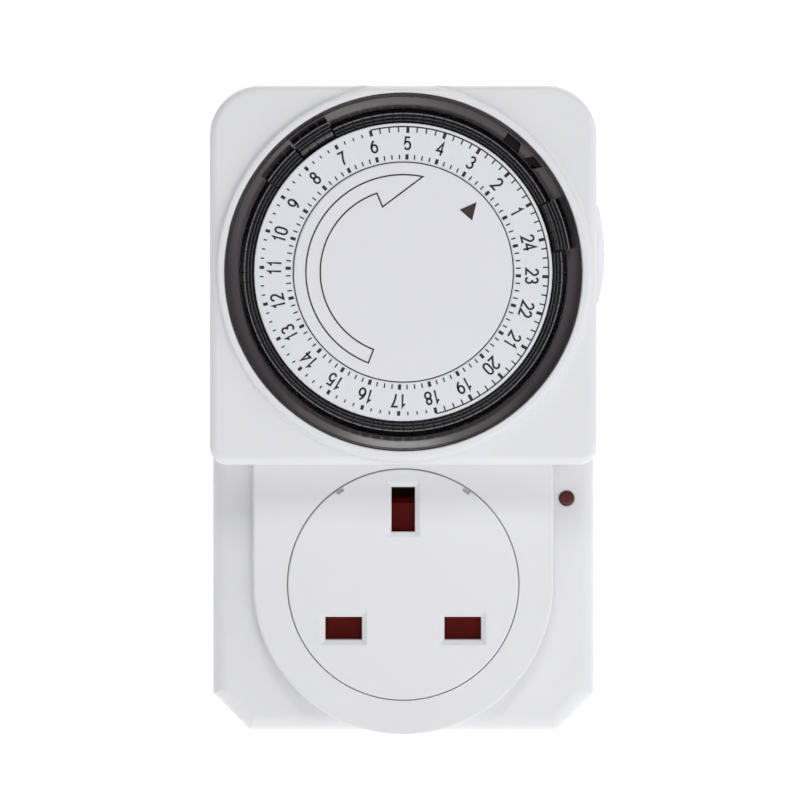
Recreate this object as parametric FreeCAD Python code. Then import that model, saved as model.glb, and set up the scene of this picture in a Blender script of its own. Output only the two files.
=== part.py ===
import FreeCAD, Part
import math
import os

# Plug-in 24-hour socket timer: plugs into a wall socket with three flat pins
# and has the same socket in its front face.
# Frame: the origin is where the plug and socket axis meets the rear face that
# rests on the wall socket. +Z is up, the front faces -Y, +X is the right-hand
# side seen from the front, and the plug pins stick out to +Y. Millimetres.

# --- case ---------------------------------------------------------------
CASE_WIDTH = 71.5
CASE_BOTTOM = -27.5
CASE_TOP = 92.5
HOOD_BOTTOM = 22.45
WALL = 2.2
WALL_SEAT_GAP = 0.05
HOOD_FACE_Y = -40.0
LOWER_FACE_Y = -26.0
BOSS_FACE_Y = -30.0
SPLIT_Y = -15.0
BACK_Y = -1.5
PLATFORM_R = 27.0
HOOD_TOP_RADIUS = 9.4
HOOD_FOOT_RADIUS = 3.3
HOOD_EDGE_FILLET = 1.5
LOWER_CHAMFER = 6.9
LOWER_EDGE_FILLET = 3.0
BACK_EDGE_FILLET = 1.5
BOSS_R = 28.0
BOSS_EDGE_FILLET = 0.5
TONGUE_THICK = 1.0
TONGUE_HEIGHT = 1.5
TONGUE_GAP = 0.12
SEAM_GAP = 0.15

# --- case screws --------------------------------------------------------
SCREW_TOP_INSET_X = 7.25
SCREW_TOP_INSET_Z = 7.0
SCREW_FOOT_INSET_X = 6.25
SCREW_FOOT_INSET_Z = 11.5
SCREW_BOSS_R = 3.2
SCREW_SHAFT_R = 1.4
SCREW_THREAD_FIT = 0.05
SCREW_PASS_FIT = 0.25
SCREW_HEAD_R = 2.8
SCREW_HEAD_HEIGHT = 1.8
SCREW_HEAD_FIT = 0.25
SCREW_SEAT_Y = -4.5
SCREW_LENGTH = 18.0
SCREW_SLOT_WIDTH = 0.8
SCREW_SLOT_DEPTH = 1.0

# --- dial opening, lip and bezel ----------------------------------------
DIAL_Z = 58.0
OPENING_R = 33.05
LIP_TOP_Y = -41.2
LIP_CREST_WIDTH = 1.4
LIP_ROUND = 0.45
LIP_EDGE = 0.2
LIP_TRIM_INSET = 0.05
LIP_TRIM_RISE = 0.4
LIP_TRIM_FILLET = 2.4
BEZEL_FIT = 0.1
BEZEL_TAPPET_GAP = 0.3
BEZEL_WALL = 0.5
BEZEL_TAPER = 0.2
BEZEL_INNER_Y = -35.6
BEZEL_CONE_Y = -36.4
BEZEL_TOP_Y = -40.3
BEZEL_SKIN = 0.8
BEZEL_LEDGE = 0.45
BEZEL_SLOT_HALF_ANGLE = 14.0
BEZEL_SLOT_DEPTH = 0.6
MARKER_ANGLE = 45.3
MARKER_RIM = 0.25
MARKER_TIP_HALF = 1.3
MARKER_ROOT_HALF = 2.9
LEFT_WINDOW_TIP = 6.9
LEFT_WINDOW_ROOT = 5.5
RIGHT_WINDOW_WIDTH = 4.6

# --- dial ---------------------------------------------------------------
POST_R = 6.0
POST_TOP_Y = -38.35
HUB_FIT = 0.15
HUB_R = 8.5
DECK_TOP_Y = -38.2
DECK_THICK = 1.5
FLOOR_TOP_Y = -35.0
FLOOR_THICK = 1.2
SPACER_GAP = 0.4
SKIRT_INSET = 0.3
SKIRT_WALL = 1.6
DIAL_GEAR_FRONT_Y = -31.0
DIAL_GEAR_BACK_Y = -27.5
RING_THICK = 1.2
RING_OUTER_R = 27.5
RING_INNER_R = 20.4
RING_OVERHANG = 2.3
RING_CHAMFER = 0.15
DISC_GAP = 0.2
DISC_TOP_Y = -39.6
DISC_LIFT = 0.2
STEM_R = 3.0
STEM_FIT = 0.1
STEM_END_Y = -27.0
DIAL_END_GAP = 0.2

# --- tappets: 96 quarter-hour sliders in 24 groups ----------------------
QUARTERS = 96
QUARTER_ANGLE = 360.0 / QUARTERS
HOUR_ANGLE = 360.0 / 24
DIAL_REST_ANGLE = 1.87
HOUR_AT_TOP = 5
TAPPET_GAP = 0.1
TAPPET_TRAVEL = 1.6
TAPPET_HALF_OUT = 0.75
TAPPET_CLEAR = 0.1
TONGUE_LENGTH = 3.05
HEAD_GAP = 0.25
HEAD_REACH = 2.6
HEAD_DROP = 0.15
HEAD_WALL_Y = -37.0
HEAD_UNDER_Y = -36.3
RIB_COUNT = 3
RIB_PITCH = 0.6
RIB_FIRST = 0.55
RIB_WIDTH = 0.26
RIB_HEIGHT = 0.45
RIB_SLOPE = 0.08
BLOCK_SLOPE = 0.05
BLOCK_WIDTH = 0.9
BLOCK_FALL = 0.75
FOOT_INSET = 1.7
FOOT_THICK = 1.15
FOOT_FLOOR_GAP = 0.25
FOOT_END_Y = -32.0

# --- mechanism plate ----------------------------------------------------
PLATE_FRONT_Y = -24.0
PLATE_BACK_Y = -22.0
PLATE_R = 31.0
PLATE_POST_R = 2.0
PLATE_STUB_R = 1.1
PLATE_STUB_FIT = 0.1
PLATE_POST_CIRCLE_R = 28.2
PLATE_POST_ANGLES = [130.0, -115.0, -50.0, 20.0]

# --- clock train --------------------------------------------------------
MOTOR_X = -14.0
MOTOR_Z = 56.0
MOTOR_R = 16.5
MOTOR_WALL = 0.8
MOTOR_FRONT_Y = -14.3
MOTOR_DEPTH = 10.1
MOTOR_EAR_REACH = 18.6
MOTOR_EAR_ANGLES = [100.0, -100.0]
MOTOR_EAR_R = 2.2
MOTOR_STUD_R = 1.6
MOTOR_STUD_TIP_R = 0.8
MOTOR_STUD_FIT = 0.1
MAGNET_R = 7.0
COIL_INNER_R = 8.6
COIL_OUTER_R = 14.6
BOBBIN_WALL = 0.8
SHAFT_R = 0.45
SHAFT_FIT = 0.1
TRAIN_MODULE = 0.2
CLUTCH_MODULE = 0.3
PINION_TEETH = 8
WHEEL_TEETH = [80, 80, 72, 80]
CLUTCH_TEETH = 40
DIAL_GEAR_TEETH = 64
TRAIN_ANGLES = [60.0, -10.0, 10.0, -60.0, -50.0]
WHEEL_THICK = 0.7
WHEEL_PITCH_Y = 1.35
TRAIN_GAP_Y = 0.3
ARBOR_R = 0.28
ARBOR_FIT = 0.08
COLLAR_R = 0.55
DRIVE_SHAFT_R = 0.8
DRIVE_FIT = 0.12
CLUTCH_FLANGE_R = 2.4
CLUTCH_FLANGE_THICK = 0.3
CLUTCH_END_GAP = 0.1

# --- trip lever, override slider and switch -----------------------------
LEVER_X = 16.0
LEVER_Z = 86.9
LEVER_PIN_R = 1.1
LEVER_PIN_FIT = 0.1
LEVER_HUB_R = 2.2
LEVER_FRONT_Y = -33.4
LEVER_ARM_THICK = 2.0
LEVER_ARM_WIDTH = 2.0
LEVER_NOSE_R = 1.2
LEVER_NOSE_GAP = 0.15
LEVER_NOSE_ANGLE = 48.0
LEVER_TAB_INSET = 2.5
LEVER_TAB_Z = 76.5
LEVER_TAB_R = 0.8
LEVER_SEAT_Y = -9.0
LEVER_SHOULDER_R = 2.0
LEVER_END_GAP = 0.2
PRESS_ARM_X = 6.5
PRESS_ARM_FRONT_Y = -15.5
PRESS_ARM_THICK = 3.0
PRESS_TIP_R = 1.0
PRESS_GAP = 0.1
OVERRIDE_TRAVEL = 2.5
KNOB_Z = 61.4
KNOB_LENGTH = 18.2
KNOB_WIDTH = 11.0
KNOB_FRONT_Y = -34.0
KNOB_RISE = 1.85
KNOB_BASE = 0.35
KNOB_FIT = 0.1
KNOB_RIBS = 5
KNOB_RIB_PITCH = 2.45
KNOB_RIB_R = 0.35
SHANK_LENGTH = 12.0
SHANK_WIDTH = 4.0
SHANK_FIT = 0.25
CARRIAGE_THICK = 1.9
CARRIAGE_FIT = 0.25
CARRIAGE_FRONT_Y = -33.2
CARRIAGE_BACK_Y = -24.8
ROD_REACH = 3.8
ROD_THICK = 1.6
SWITCH_LENGTH = 22.0
SWITCH_HEIGHT = 9.0
SWITCH_FRONT_Y = -18.0
SWITCH_BACK_Y = -9.0
SWITCH_LEFT_X = -2.0
SWITCH_TOP_Z = 83.0
SWITCH_PEG_R = 1.0
SWITCH_PEG_FIT = 0.1
SWITCH_PEG_INSET_X = 3.5
SWITCH_PEG_INSET_Z = 2.5
SWITCH_SHELL = 1.0
PLUNGER_R = 1.2
PLUNGER_FIT = 0.1

# --- front socket and rear plug -----------------------------------------
EARTH_Z = 14.0
LINE_X = 11.11
LINE_Z = -8.2
LINE_SLOT_ROOM_X = 0.5
LINE_SLOT_ROOM_Z = 0.33
EARTH_SLOT_ROOM_X = 0.43
EARTH_SLOT_ROOM_Z = 0.48
SLOT_BEVEL = 1.0
SLOT_BEVEL_DEPTH = 0.7
SOCKET_FACE_R = 21.5
SOCKET_FACE_Y = -30.2
SOCKET_FACE_THICK = 1.8
SOCKET_FACE_FIT = 0.15
SOCKET_LEDGE = 1.6
COLLAR_WALL = 1.2
COLLAR_END_Y = -25.7
GUIDE_THICK = 1.2
GUIDE_BACK_Y = -23.6
KEY_ANGLE = 34.0
KEY_WIDTH = 1.4
KEY_DEPTH = 0.8
SHUTTER_FRONT_Y = -25.4
SHUTTER_THICK = 1.6
SHUTTER_TOP_Z = 16.1
SHUTTER_BAR_LAP = 2.065
SHUTTER_BAR_TOP_Z = -5.2
SHUTTER_BAR_BOTTOM_Z = -11.2
SHUTTER_STEM_HALF = 3.4
SHUTTER_GUIDE_GAP = 0.3
SHUTTER_RAMP = 1.0
SPRING_R = 1.5
SPRING_WIRE_R = 0.2
SPRING_TURNS = 4
SPRING_LENGTH = 8.4
SPRING_OFFSET_Y = 0.4
SPRING_SHELF_THICK = 1.4
LINE_PIN_WIDTH = 6.35
LINE_PIN_HEIGHT = 3.97
LINE_PIN_LENGTH = 17.7
EARTH_PIN_WIDTH = 3.97
EARTH_PIN_HEIGHT = 7.92
EARTH_PIN_LENGTH = 22.73
PIN_TIP_CHAMFER = 0.9
SLEEVE_LENGTH = 9.5
SLEEVE_THICK = 0.4
SLEEVE_ROOT_Y = -2.5
PIN_FIT = 0.08
CONTACT_GAP = 4.4
CONTACT_END_GAP = 0.05
CONTACT_THICK = 0.5
CONTACT_WIDTH = 6.0
EARTH_CONTACT_WIDTH = 7.4
CONTACT_FRONT_Y = -22.0
LINE_CONTACT_BACK_Y = -10.0
EARTH_CONTACT_BACK_Y = -6.0
CONTACT_FIT = 0.15
CARRIER_FRONT_Y = -22.5
CARRIER_BASE_Y = -9.8
CARRIER_HALF_WIDTH = 20.0
CARRIER_BOTTOM_Z = -14.5
CARRIER_TOP_Z = 20.5
CARRIER_WALL = 1.2
LIVE_TAIL_Y = -7.5

# --- neon lamp ----------------------------------------------------------
NEON_INSET = 5.15
NEON_Z = 16.0
LENS_R = 1.4
LENS_FIT = 0.08
LENS_PROUD = 0.5
LENS_FLANGE_R = 2.0
LENS_FLANGE_THICK = 0.5
LAMP_R = 2.1
LAMP_LENGTH = 13.5
LAMP_GAP = 0.15

# --- places worked out from the sizes above -----------------------------
HALF_WIDTH = CASE_WIDTH / 2.0
INNER_HALF = HALF_WIDTH - WALL
HOOD_INNER_Y = HOOD_FACE_Y + WALL
LOWER_INNER_Y = LOWER_FACE_Y + WALL
BACK_INNER_Y = BACK_Y - WALL
CARRIER_BACK_Y = BACK_INNER_Y - WALL_SEAT_GAP
MIDDLE_Z = (HOOD_BOTTOM + DIAL_Z) / 2.0
CARRIAGE_X = INNER_HALF - CARRIAGE_FIT
NEON_X = HALF_WIDTH - NEON_INSET
DECK_BACK_Y = DECK_TOP_Y + DECK_THICK
FLOOR_BACK_Y = FLOOR_TOP_Y + FLOOR_THICK
DECK_R = RING_OUTER_R - RING_OVERHANG
DISC_R = RING_INNER_R - DISC_GAP
HEAD_INNER_R = DECK_R + HEAD_GAP
HEAD_OUTER_R = RING_OUTER_R + HEAD_REACH
TONGUE_INNER_R = HEAD_INNER_R - TONGUE_LENGTH
SPACER_R = TONGUE_INNER_R - SPACER_GAP
FOOT_OUTER_R = HEAD_OUTER_R - FOOT_INSET
FOOT_INNER_R = FOOT_OUTER_R - FOOT_THICK
FLOOR_R = FOOT_INNER_R - FOOT_FLOOR_GAP
BEZEL_OUTER_R = OPENING_R - BEZEL_FIT
BEZEL_CONE_R = OPENING_R - BEZEL_WALL
BEZEL_INNER_R = HEAD_OUTER_R + BEZEL_TAPPET_GAP
LINE_SLOT_WIDTH = LINE_PIN_WIDTH + LINE_SLOT_ROOM_X
LINE_SLOT_HEIGHT = LINE_PIN_HEIGHT + LINE_SLOT_ROOM_Z
EARTH_SLOT_WIDTH = EARTH_PIN_WIDTH + EARTH_SLOT_ROOM_X
EARTH_SLOT_HEIGHT = EARTH_PIN_HEIGHT + EARTH_SLOT_ROOM_Z
SHUTTER_BAR_HALF = LINE_X + LINE_SLOT_WIDTH / 2.0 + SHUTTER_BAR_LAP
LEVER_BACK_Y = LEVER_FRONT_Y + LEVER_ARM_THICK
SHUTTER_BACK_Y = SHUTTER_FRONT_Y + SHUTTER_THICK


def vec(x, y, z):
    return FreeCAD.Vector(x, y, z)


def box(x0, x1, y0, y1, z0, z1):
    return Part.makeBox(x1 - x0, y1 - y0, z1 - z0, vec(x0, y0, z0))


def block(x, z, width, height, y0, y1):
    """A box centred on (x, z), from y0 back to y1."""
    return box(x - width / 2.0, x + width / 2.0, y0, y1, z - height / 2.0, z + height / 2.0)


def rod(x, z, radius, y0, y1):
    """A round bar along Y."""
    return Part.makeCylinder(radius, y1 - y0, vec(x, y0, z), vec(0, 1, 0))


def ring(x, z, outer, inner, y0, y1):
    return rod(x, z, outer, y0, y1).cut(rod(x, z, inner, y0 - 1.0, y1 + 1.0))


def turned(profile, x, z):
    """A solid of revolution about the Y axis through (x, z), from (radius, y) points."""
    points = [vec(x + r, y, z) for r, y in profile]
    face = Part.Face(Part.makePolygon(points + points[:1]))
    return face.revolve(vec(x, 0, z), vec(0, 1, 0), 360)


def prism(points, y0, y1):
    """A polygon of (x, z) points pushed along Y."""
    corners = [vec(x, y0, z) for x, z in points]
    return Part.Face(Part.makePolygon(corners + corners[:1])).extrude(vec(0, y1 - y0, 0))


def bar_between(a, b, width, y0, y1):
    """A flat bar with round ends from point a to point b, each (x, z)."""
    length = math.hypot(b[0] - a[0], b[1] - a[1])
    side_x = (b[1] - a[1]) / length * width / 2.0
    side_z = (a[0] - b[0]) / length * width / 2.0
    body = prism([(a[0] + side_x, a[1] + side_z), (b[0] + side_x, b[1] + side_z),
                  (b[0] - side_x, b[1] - side_z), (a[0] - side_x, a[1] - side_z)], y0, y1)
    return body.fuse([rod(a[0], a[1], width / 2.0, y0, y1), rod(b[0], b[1], width / 2.0, y0, y1)])


def polar(centre, radius, degrees):
    """A point at an angle measured from +X towards +Z."""
    angle = math.radians(degrees)
    return centre[0] + radius * math.cos(angle), centre[1] + radius * math.sin(angle)


def clock(radius, degrees):
    """A point on the dial, at an angle clockwise from its top."""
    return polar((0.0, DIAL_Z), radius, 90.0 - degrees)


def rounded_outline(half, bottom, top, foot_radius, top_radius, y0, y1):
    """An upright block whose corners, seen from the front, have two different radii."""
    shape = box(-half, half, y0, y1, bottom, top)
    feet = []
    heads = []
    for edge in shape.Edges:
        middle = edge.CenterOfMass
        if abs(abs(middle.x) - half) < 0.01 and abs(middle.y - (y0 + y1) / 2.0) < 0.01:
            if middle.z < (bottom + top) / 2.0:
                feet.append(edge)
            else:
                heads.append(edge)
    shape = shape.makeFillet(foot_radius, feet)
    heads = [edge for edge in shape.Edges
             if abs(abs(edge.CenterOfMass.x) - half) < 0.01
             and abs(edge.CenterOfMass.z - top) < 0.01
             and abs(edge.CenterOfMass.y - (y0 + y1) / 2.0) < 0.01]
    return shape.makeFillet(top_radius, heads)


def hood_block(inset, y0, y1):
    """The upper part of the case, seen from the front, drawn in by an inset."""
    return rounded_outline(HALF_WIDTH - inset, HOOD_BOTTOM + inset, CASE_TOP - inset,
                           max(HOOD_FOOT_RADIUS - inset, 0.5), HOOD_TOP_RADIUS - inset, y0, y1)


def lower_block(inset, y0, y1):
    """The lower part of the case with its cut bottom corners; its top runs up into the hood."""
    half = HALF_WIDTH - inset
    bottom = CASE_BOTTOM + inset
    cut = LOWER_CHAMFER - inset * (2.0 - math.sqrt(2.0))
    return prism([(-half, bottom + cut), (-half + cut, bottom), (half - cut, bottom),
                  (half, bottom + cut), (half, MIDDLE_Z), (-half, MIDDLE_Z)], y0, y1)


def boss_block(inset, y0, y1):
    """The U-shaped raised panel that carries the socket."""
    radius = BOSS_R - inset
    return rod(0, 0, radius, y0, y1).fuse(box(-radius, radius, y0, y1, 0, HOOD_BOTTOM))


def edges_at(shape, y):
    """The edges that lie wholly in the plane at this y."""
    return [edge for edge in shape.Edges
            if abs(edge.BoundBox.YMin - y) < 0.001 and abs(edge.BoundBox.YMax - y) < 0.001]


def soften(shape, y, radius, skip_top=None):
    """Rounds the edges of the face at this y, leaving those at or above skip_top."""
    edges = edges_at(shape, y)
    if skip_top is not None:
        edges = [edge for edge in edges if edge.BoundBox.ZMin < skip_top - 0.01]
    return shape.makeFillet(radius, edges)


def save(name, *solids):
    """One STEP file for each named piece; several solids stay separate in it."""
    shape = solids[0] if len(solids) == 1 else Part.makeCompound(list(solids))
    for solid in shape.Solids:
        if not solid.isValid() or solid.Volume <= 0:
            raise ValueError(name + " has a bad solid")
    if not shape.Solids:
        raise ValueError(name + " is empty")
    shape.exportStep(os.path.join("parts", name + ".step"))


# --- the two housings ---------------------------------------------------
def screw_spots():
    """Places of the four case screws, set in from the corners of the case."""
    top_x = HALF_WIDTH - SCREW_TOP_INSET_X
    foot_x = HALF_WIDTH - SCREW_FOOT_INSET_X
    top_z = CASE_TOP - SCREW_TOP_INSET_Z
    foot_z = CASE_BOTTOM + SCREW_FOOT_INSET_Z
    return [(-top_x, top_z), (top_x, top_z), (-foot_x, foot_z), (foot_x, foot_z)]


def dial_lip():
    """The raised rim around the dial: rounded at its outer edge, then blended into the hood's face."""
    crest = OPENING_R + LIP_CREST_WIDTH
    blend = HOOD_FACE_Y - LIP_TOP_Y - LIP_ROUND
    bend = math.sqrt(0.5)
    corner = [vec(crest - LIP_ROUND, LIP_TOP_Y, DIAL_Z),
              vec(crest - LIP_ROUND * (1.0 - bend), LIP_TOP_Y + LIP_ROUND * (1.0 - bend), DIAL_Z),
              vec(crest, LIP_TOP_Y + LIP_ROUND, DIAL_Z)]
    foot = [corner[2],
            vec(crest + blend * (1.0 - bend), HOOD_FACE_Y - blend * (1.0 - bend), DIAL_Z),
            vec(crest + blend, HOOD_FACE_Y, DIAL_Z)]
    straight = [foot[2], vec(crest + blend, HOOD_INNER_Y, DIAL_Z), vec(OPENING_R, HOOD_INNER_Y, DIAL_Z),
                vec(OPENING_R, LIP_TOP_Y + LIP_EDGE, DIAL_Z), vec(OPENING_R + LIP_EDGE, LIP_TOP_Y, DIAL_Z),
                corner[0]]
    outline = [Part.Arc(*corner).toShape(), Part.Arc(*foot).toShape()] + Part.makePolygon(straight).Edges
    rim = Part.Face(Part.Wire(outline)).revolve(vec(0, 0, DIAL_Z), vec(0, 1, 0), 360)
    front = LIP_TOP_Y - LIP_TRIM_RISE
    trim = soften(hood_block(LIP_TRIM_INSET, front, SPLIT_Y), front, LIP_TRIM_FILLET)
    return rim.common(trim)


def front_housing():
    """Front shell: hood with the dial opening, lower body and raised socket panel."""
    hood = soften(hood_block(0.0, HOOD_FACE_Y, SPLIT_Y), HOOD_FACE_Y, HOOD_EDGE_FILLET)
    lower = soften(lower_block(0.0, LOWER_FACE_Y, SPLIT_Y), LOWER_FACE_Y, LOWER_EDGE_FILLET, MIDDLE_Z)
    boss = soften(boss_block(0.0, BOSS_FACE_Y, LOWER_INNER_Y), BOSS_FACE_Y, BOSS_EDGE_FILLET, HOOD_BOTTOM)
    shell = hood.fuse([lower, boss, dial_lip()])
    shell = shell.cut(hood_block(WALL, HOOD_INNER_Y, SPLIT_Y + 1.0))
    shell = shell.cut(lower_block(WALL, LOWER_INNER_Y, SPLIT_Y + 1.0))
    shell = shell.cut(boss_block(WALL, BOSS_FACE_Y + WALL, LOWER_INNER_Y + 0.1))
    groove_inset = WALL - TONGUE_THICK - TONGUE_GAP
    groove_y = SPLIT_Y - TONGUE_HEIGHT - TONGUE_GAP
    shell = shell.cut(hood_block(groove_inset, groove_y, SPLIT_Y + 1.0))
    shell = shell.cut(lower_block(groove_inset, groove_y, SPLIT_Y + 1.0))
    shell = shell.cut(rod(0, DIAL_Z, OPENING_R, LIP_TOP_Y - 1.0, HOOD_INNER_Y + 0.1))
    bezel_room = OPENING_R + BEZEL_LEDGE
    shell = shell.cut(rod(0, DIAL_Z, bezel_room, HOOD_INNER_Y, BEZEL_INNER_Y + BEZEL_SKIN + BEZEL_FIT))
    shell = shell.cut(rod(0, 0, SOCKET_FACE_R + SOCKET_FACE_FIT, BOSS_FACE_Y - 1.0, BOSS_FACE_Y + WALL + 0.1))
    shell = shell.cut(rod(NEON_X, NEON_Z, LENS_R + LENS_FIT, LOWER_FACE_Y - 1.0, LOWER_INNER_Y + 1.0))
    slot_low = KNOB_Z - SHANK_LENGTH / 2.0 - SHANK_FIT
    slot_high = KNOB_Z + SHANK_LENGTH / 2.0 + OVERRIDE_TRAVEL + SHANK_FIT
    shank_y = KNOB_FRONT_Y + KNOB_WIDTH / 2.0
    shell = shell.cut(box(INNER_HALF - 1.0, HALF_WIDTH + 1.0, shank_y - SHANK_WIDTH / 2.0 - SHANK_FIT,
                          shank_y + SHANK_WIDTH / 2.0 + SHANK_FIT, slot_low, slot_high))
    boss_end = SPLIT_Y - SEAM_GAP
    for x, z in screw_spots():
        face_y = HOOD_INNER_Y if z > HOOD_BOTTOM else LOWER_INNER_Y
        pillar = rod(x, z, SCREW_BOSS_R, face_y - 0.5, boss_end)
        shell = shell.fuse(pillar)
        shell = shell.cut(rod(x, z, SCREW_SHAFT_R + SCREW_THREAD_FIT,
                              SCREW_SEAT_Y - SCREW_LENGTH - 0.5, boss_end + 1.0))
    return shell.removeSplitter()


def rear_housing():
    """Rear shell with the plug platform, screw sockets and the posts that carry the mechanism."""
    hood = soften(hood_block(0.0, SPLIT_Y, BACK_Y), BACK_Y, BACK_EDGE_FILLET)
    lower = soften(lower_block(0.0, SPLIT_Y, BACK_Y), BACK_Y, BACK_EDGE_FILLET, MIDDLE_Z)
    shell = hood.fuse([lower, rod(0, 0, PLATFORM_R, BACK_INNER_Y, 0.0)])
    shell = shell.cut(hood_block(WALL, SPLIT_Y - 1.0, BACK_INNER_Y))
    shell = shell.cut(lower_block(WALL, SPLIT_Y - 1.0, BACK_INNER_Y))
    tongue_inset = WALL - TONGUE_THICK
    tongue_y = SPLIT_Y - TONGUE_HEIGHT
    tongue = hood_block(tongue_inset, tongue_y, SPLIT_Y + 0.5).fuse(
        lower_block(tongue_inset, tongue_y, SPLIT_Y + 0.5))
    tongue = tongue.cut(hood_block(WALL, tongue_y - 1.0, SPLIT_Y + 1.0))
    tongue = tongue.cut(lower_block(WALL, tongue_y - 1.0, SPLIT_Y + 1.0))
    shell = shell.fuse(tongue)
    for x, z in screw_spots():
        tower = rod(x, z, SCREW_BOSS_R, SPLIT_Y, BACK_INNER_Y + 0.5)
        seat = rod(x, z, SCREW_HEAD_R + SCREW_HEAD_FIT + 1.0, SCREW_SEAT_Y - 1.5, BACK_INNER_Y + 0.5)
        shell = shell.fuse([tower, seat])
        shell = shell.cut(rod(x, z, SCREW_SHAFT_R + SCREW_PASS_FIT, SPLIT_Y - 1.0, 1.0))
        shell = shell.cut(rod(x, z, SCREW_HEAD_R + SCREW_HEAD_FIT, SCREW_SEAT_Y, 1.0))
    for x, z in plate_posts():
        post = rod(x, z, PLATE_POST_R, PLATE_BACK_Y, BACK_INNER_Y + 0.5)
        stub = rod(x, z, PLATE_STUB_R, PLATE_FRONT_Y + 0.3, PLATE_BACK_Y + 0.5)
        shell = shell.fuse([post, stub])
    shoulder = rod(LEVER_X, LEVER_Z, LEVER_SHOULDER_R, LEVER_SEAT_Y, BACK_INNER_Y + 0.5)
    lever_pin = rod(LEVER_X, LEVER_Z, LEVER_PIN_R, LEVER_FRONT_Y - 0.4, LEVER_SEAT_Y + 0.5)
    shell = shell.fuse([shoulder, lever_pin])
    for x in (-LINE_X, LINE_X):
        shell = shell.cut(block(x, LINE_Z, LINE_PIN_WIDTH + 2 * PIN_FIT, LINE_PIN_HEIGHT + 2 * PIN_FIT,
                                BACK_INNER_Y - 1.0, 1.0))
    shell = shell.cut(block(0, EARTH_Z, EARTH_PIN_WIDTH + 2 * PIN_FIT, EARTH_PIN_HEIGHT + 2 * PIN_FIT,
                            BACK_INNER_Y - 1.0, 1.0))
    return shell.removeSplitter()


def case_screw(x, z):
    """Pan-head screw with a cross recess, driven in from the rear."""
    shaft = rod(x, z, SCREW_SHAFT_R, SCREW_SEAT_Y - SCREW_LENGTH, SCREW_SEAT_Y)
    head_end = SCREW_SEAT_Y + SCREW_HEAD_HEIGHT
    head = rod(x, z, SCREW_HEAD_R, SCREW_SEAT_Y, head_end)
    head = head.makeFillet(0.5, edges_at(head, head_end))
    screw = shaft.fuse(head)
    arm = SCREW_HEAD_R * 1.2
    for width, height in ((arm, SCREW_SLOT_WIDTH), (SCREW_SLOT_WIDTH, arm)):
        screw = screw.cut(block(x, z, width, height, head_end - SCREW_SLOT_DEPTH, head_end + 1.0))
    return screw


# --- socket, contacts and plug ------------------------------------------
def slot_places():
    """Centre, width and height of the neutral, live and earth slots."""
    return [(-LINE_X, LINE_Z, LINE_SLOT_WIDTH, LINE_SLOT_HEIGHT),
            (LINE_X, LINE_Z, LINE_SLOT_WIDTH, LINE_SLOT_HEIGHT),
            (0.0, EARTH_Z, EARTH_SLOT_WIDTH, EARTH_SLOT_HEIGHT)]


def slot_cutter(x, z, width, height):
    """A straight slot with a bevelled mouth."""
    throat = block(x, z, width, height, SOCKET_FACE_Y - 1.0, COLLAR_END_Y + 1.0)
    mouth = SOCKET_FACE_Y - 0.05
    floor = SOCKET_FACE_Y + SLOT_BEVEL_DEPTH
    outer = [vec(x + sx * (width / 2.0 + SLOT_BEVEL), mouth, z + sz * (height / 2.0 + SLOT_BEVEL))
             for sx, sz in ((-1, -1), (1, -1), (1, 1), (-1, 1))]
    inner = [vec(x + sx * width / 2.0, floor, z + sz * height / 2.0)
             for sx, sz in ((-1, -1), (1, -1), (1, 1), (-1, 1))]
    funnel = Part.makeLoft([Part.makePolygon(outer + outer[:1]), Part.makePolygon(inner + inner[:1])], True)
    return throat.fuse(funnel)


def socket_face():
    """Round insert with the three slots, their collars and the shutter guides."""
    back = SOCKET_FACE_Y + SOCKET_FACE_THICK
    plate = rod(0, 0, SOCKET_FACE_R, SOCKET_FACE_Y, BOSS_FACE_Y + WALL + 0.6)
    plate = plate.makeFillet(0.3, edges_at(plate, SOCKET_FACE_Y))
    plate = plate.cut(rod(0, 0, SOCKET_FACE_R - WALL, back, 0.0))
    ledge = ring(0, 0, SOCKET_FACE_R + SOCKET_LEDGE, SOCKET_FACE_R - WALL,
                 BOSS_FACE_Y + WALL + 0.1, BOSS_FACE_Y + WALL + 1.2)
    plate = plate.fuse(ledge)
    for x, z, width, height in slot_places():
        plate = plate.fuse(block(x, z, width + 2 * COLLAR_WALL, height + 2 * COLLAR_WALL,
                                 back - 0.2, COLLAR_END_Y))
    for side in (-1, 1):
        near = side * (SHUTTER_BAR_HALF + SHUTTER_GUIDE_GAP)
        far = near + side * GUIDE_THICK
        guide = box(min(near, far), max(near, far), back - 0.2, GUIDE_BACK_Y, SHUTTER_BAR_BOTTOM_Z + 1.0,
                    SHUTTER_BAR_TOP_Z + 3.0)
        plate = plate.fuse(guide)
    shelf_top = SHUTTER_BAR_BOTTOM_Z - SPRING_LENGTH
    shelf = box(-3.0, 3.0, back - 0.2, GUIDE_BACK_Y, shelf_top - SPRING_SHELF_THICK, shelf_top)
    inside = rod(0, 0, SOCKET_FACE_R + SOCKET_LEDGE, back - 0.2, GUIDE_BACK_Y)
    plate = plate.fuse(shelf.common(inside))
    for place in slot_places():
        plate = plate.cut(slot_cutter(*place))
    for angle in (-KEY_ANGLE, KEY_ANGLE):
        key = block(0, SOCKET_FACE_R, KEY_WIDTH, 2 * KEY_DEPTH, SOCKET_FACE_Y - 1.0, SOCKET_FACE_Y + 0.9)
        key.rotate(vec(0, 0, 0), vec(0, 1, 0), angle)
        plate = plate.cut(key)
    return plate.removeSplitter()


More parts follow.
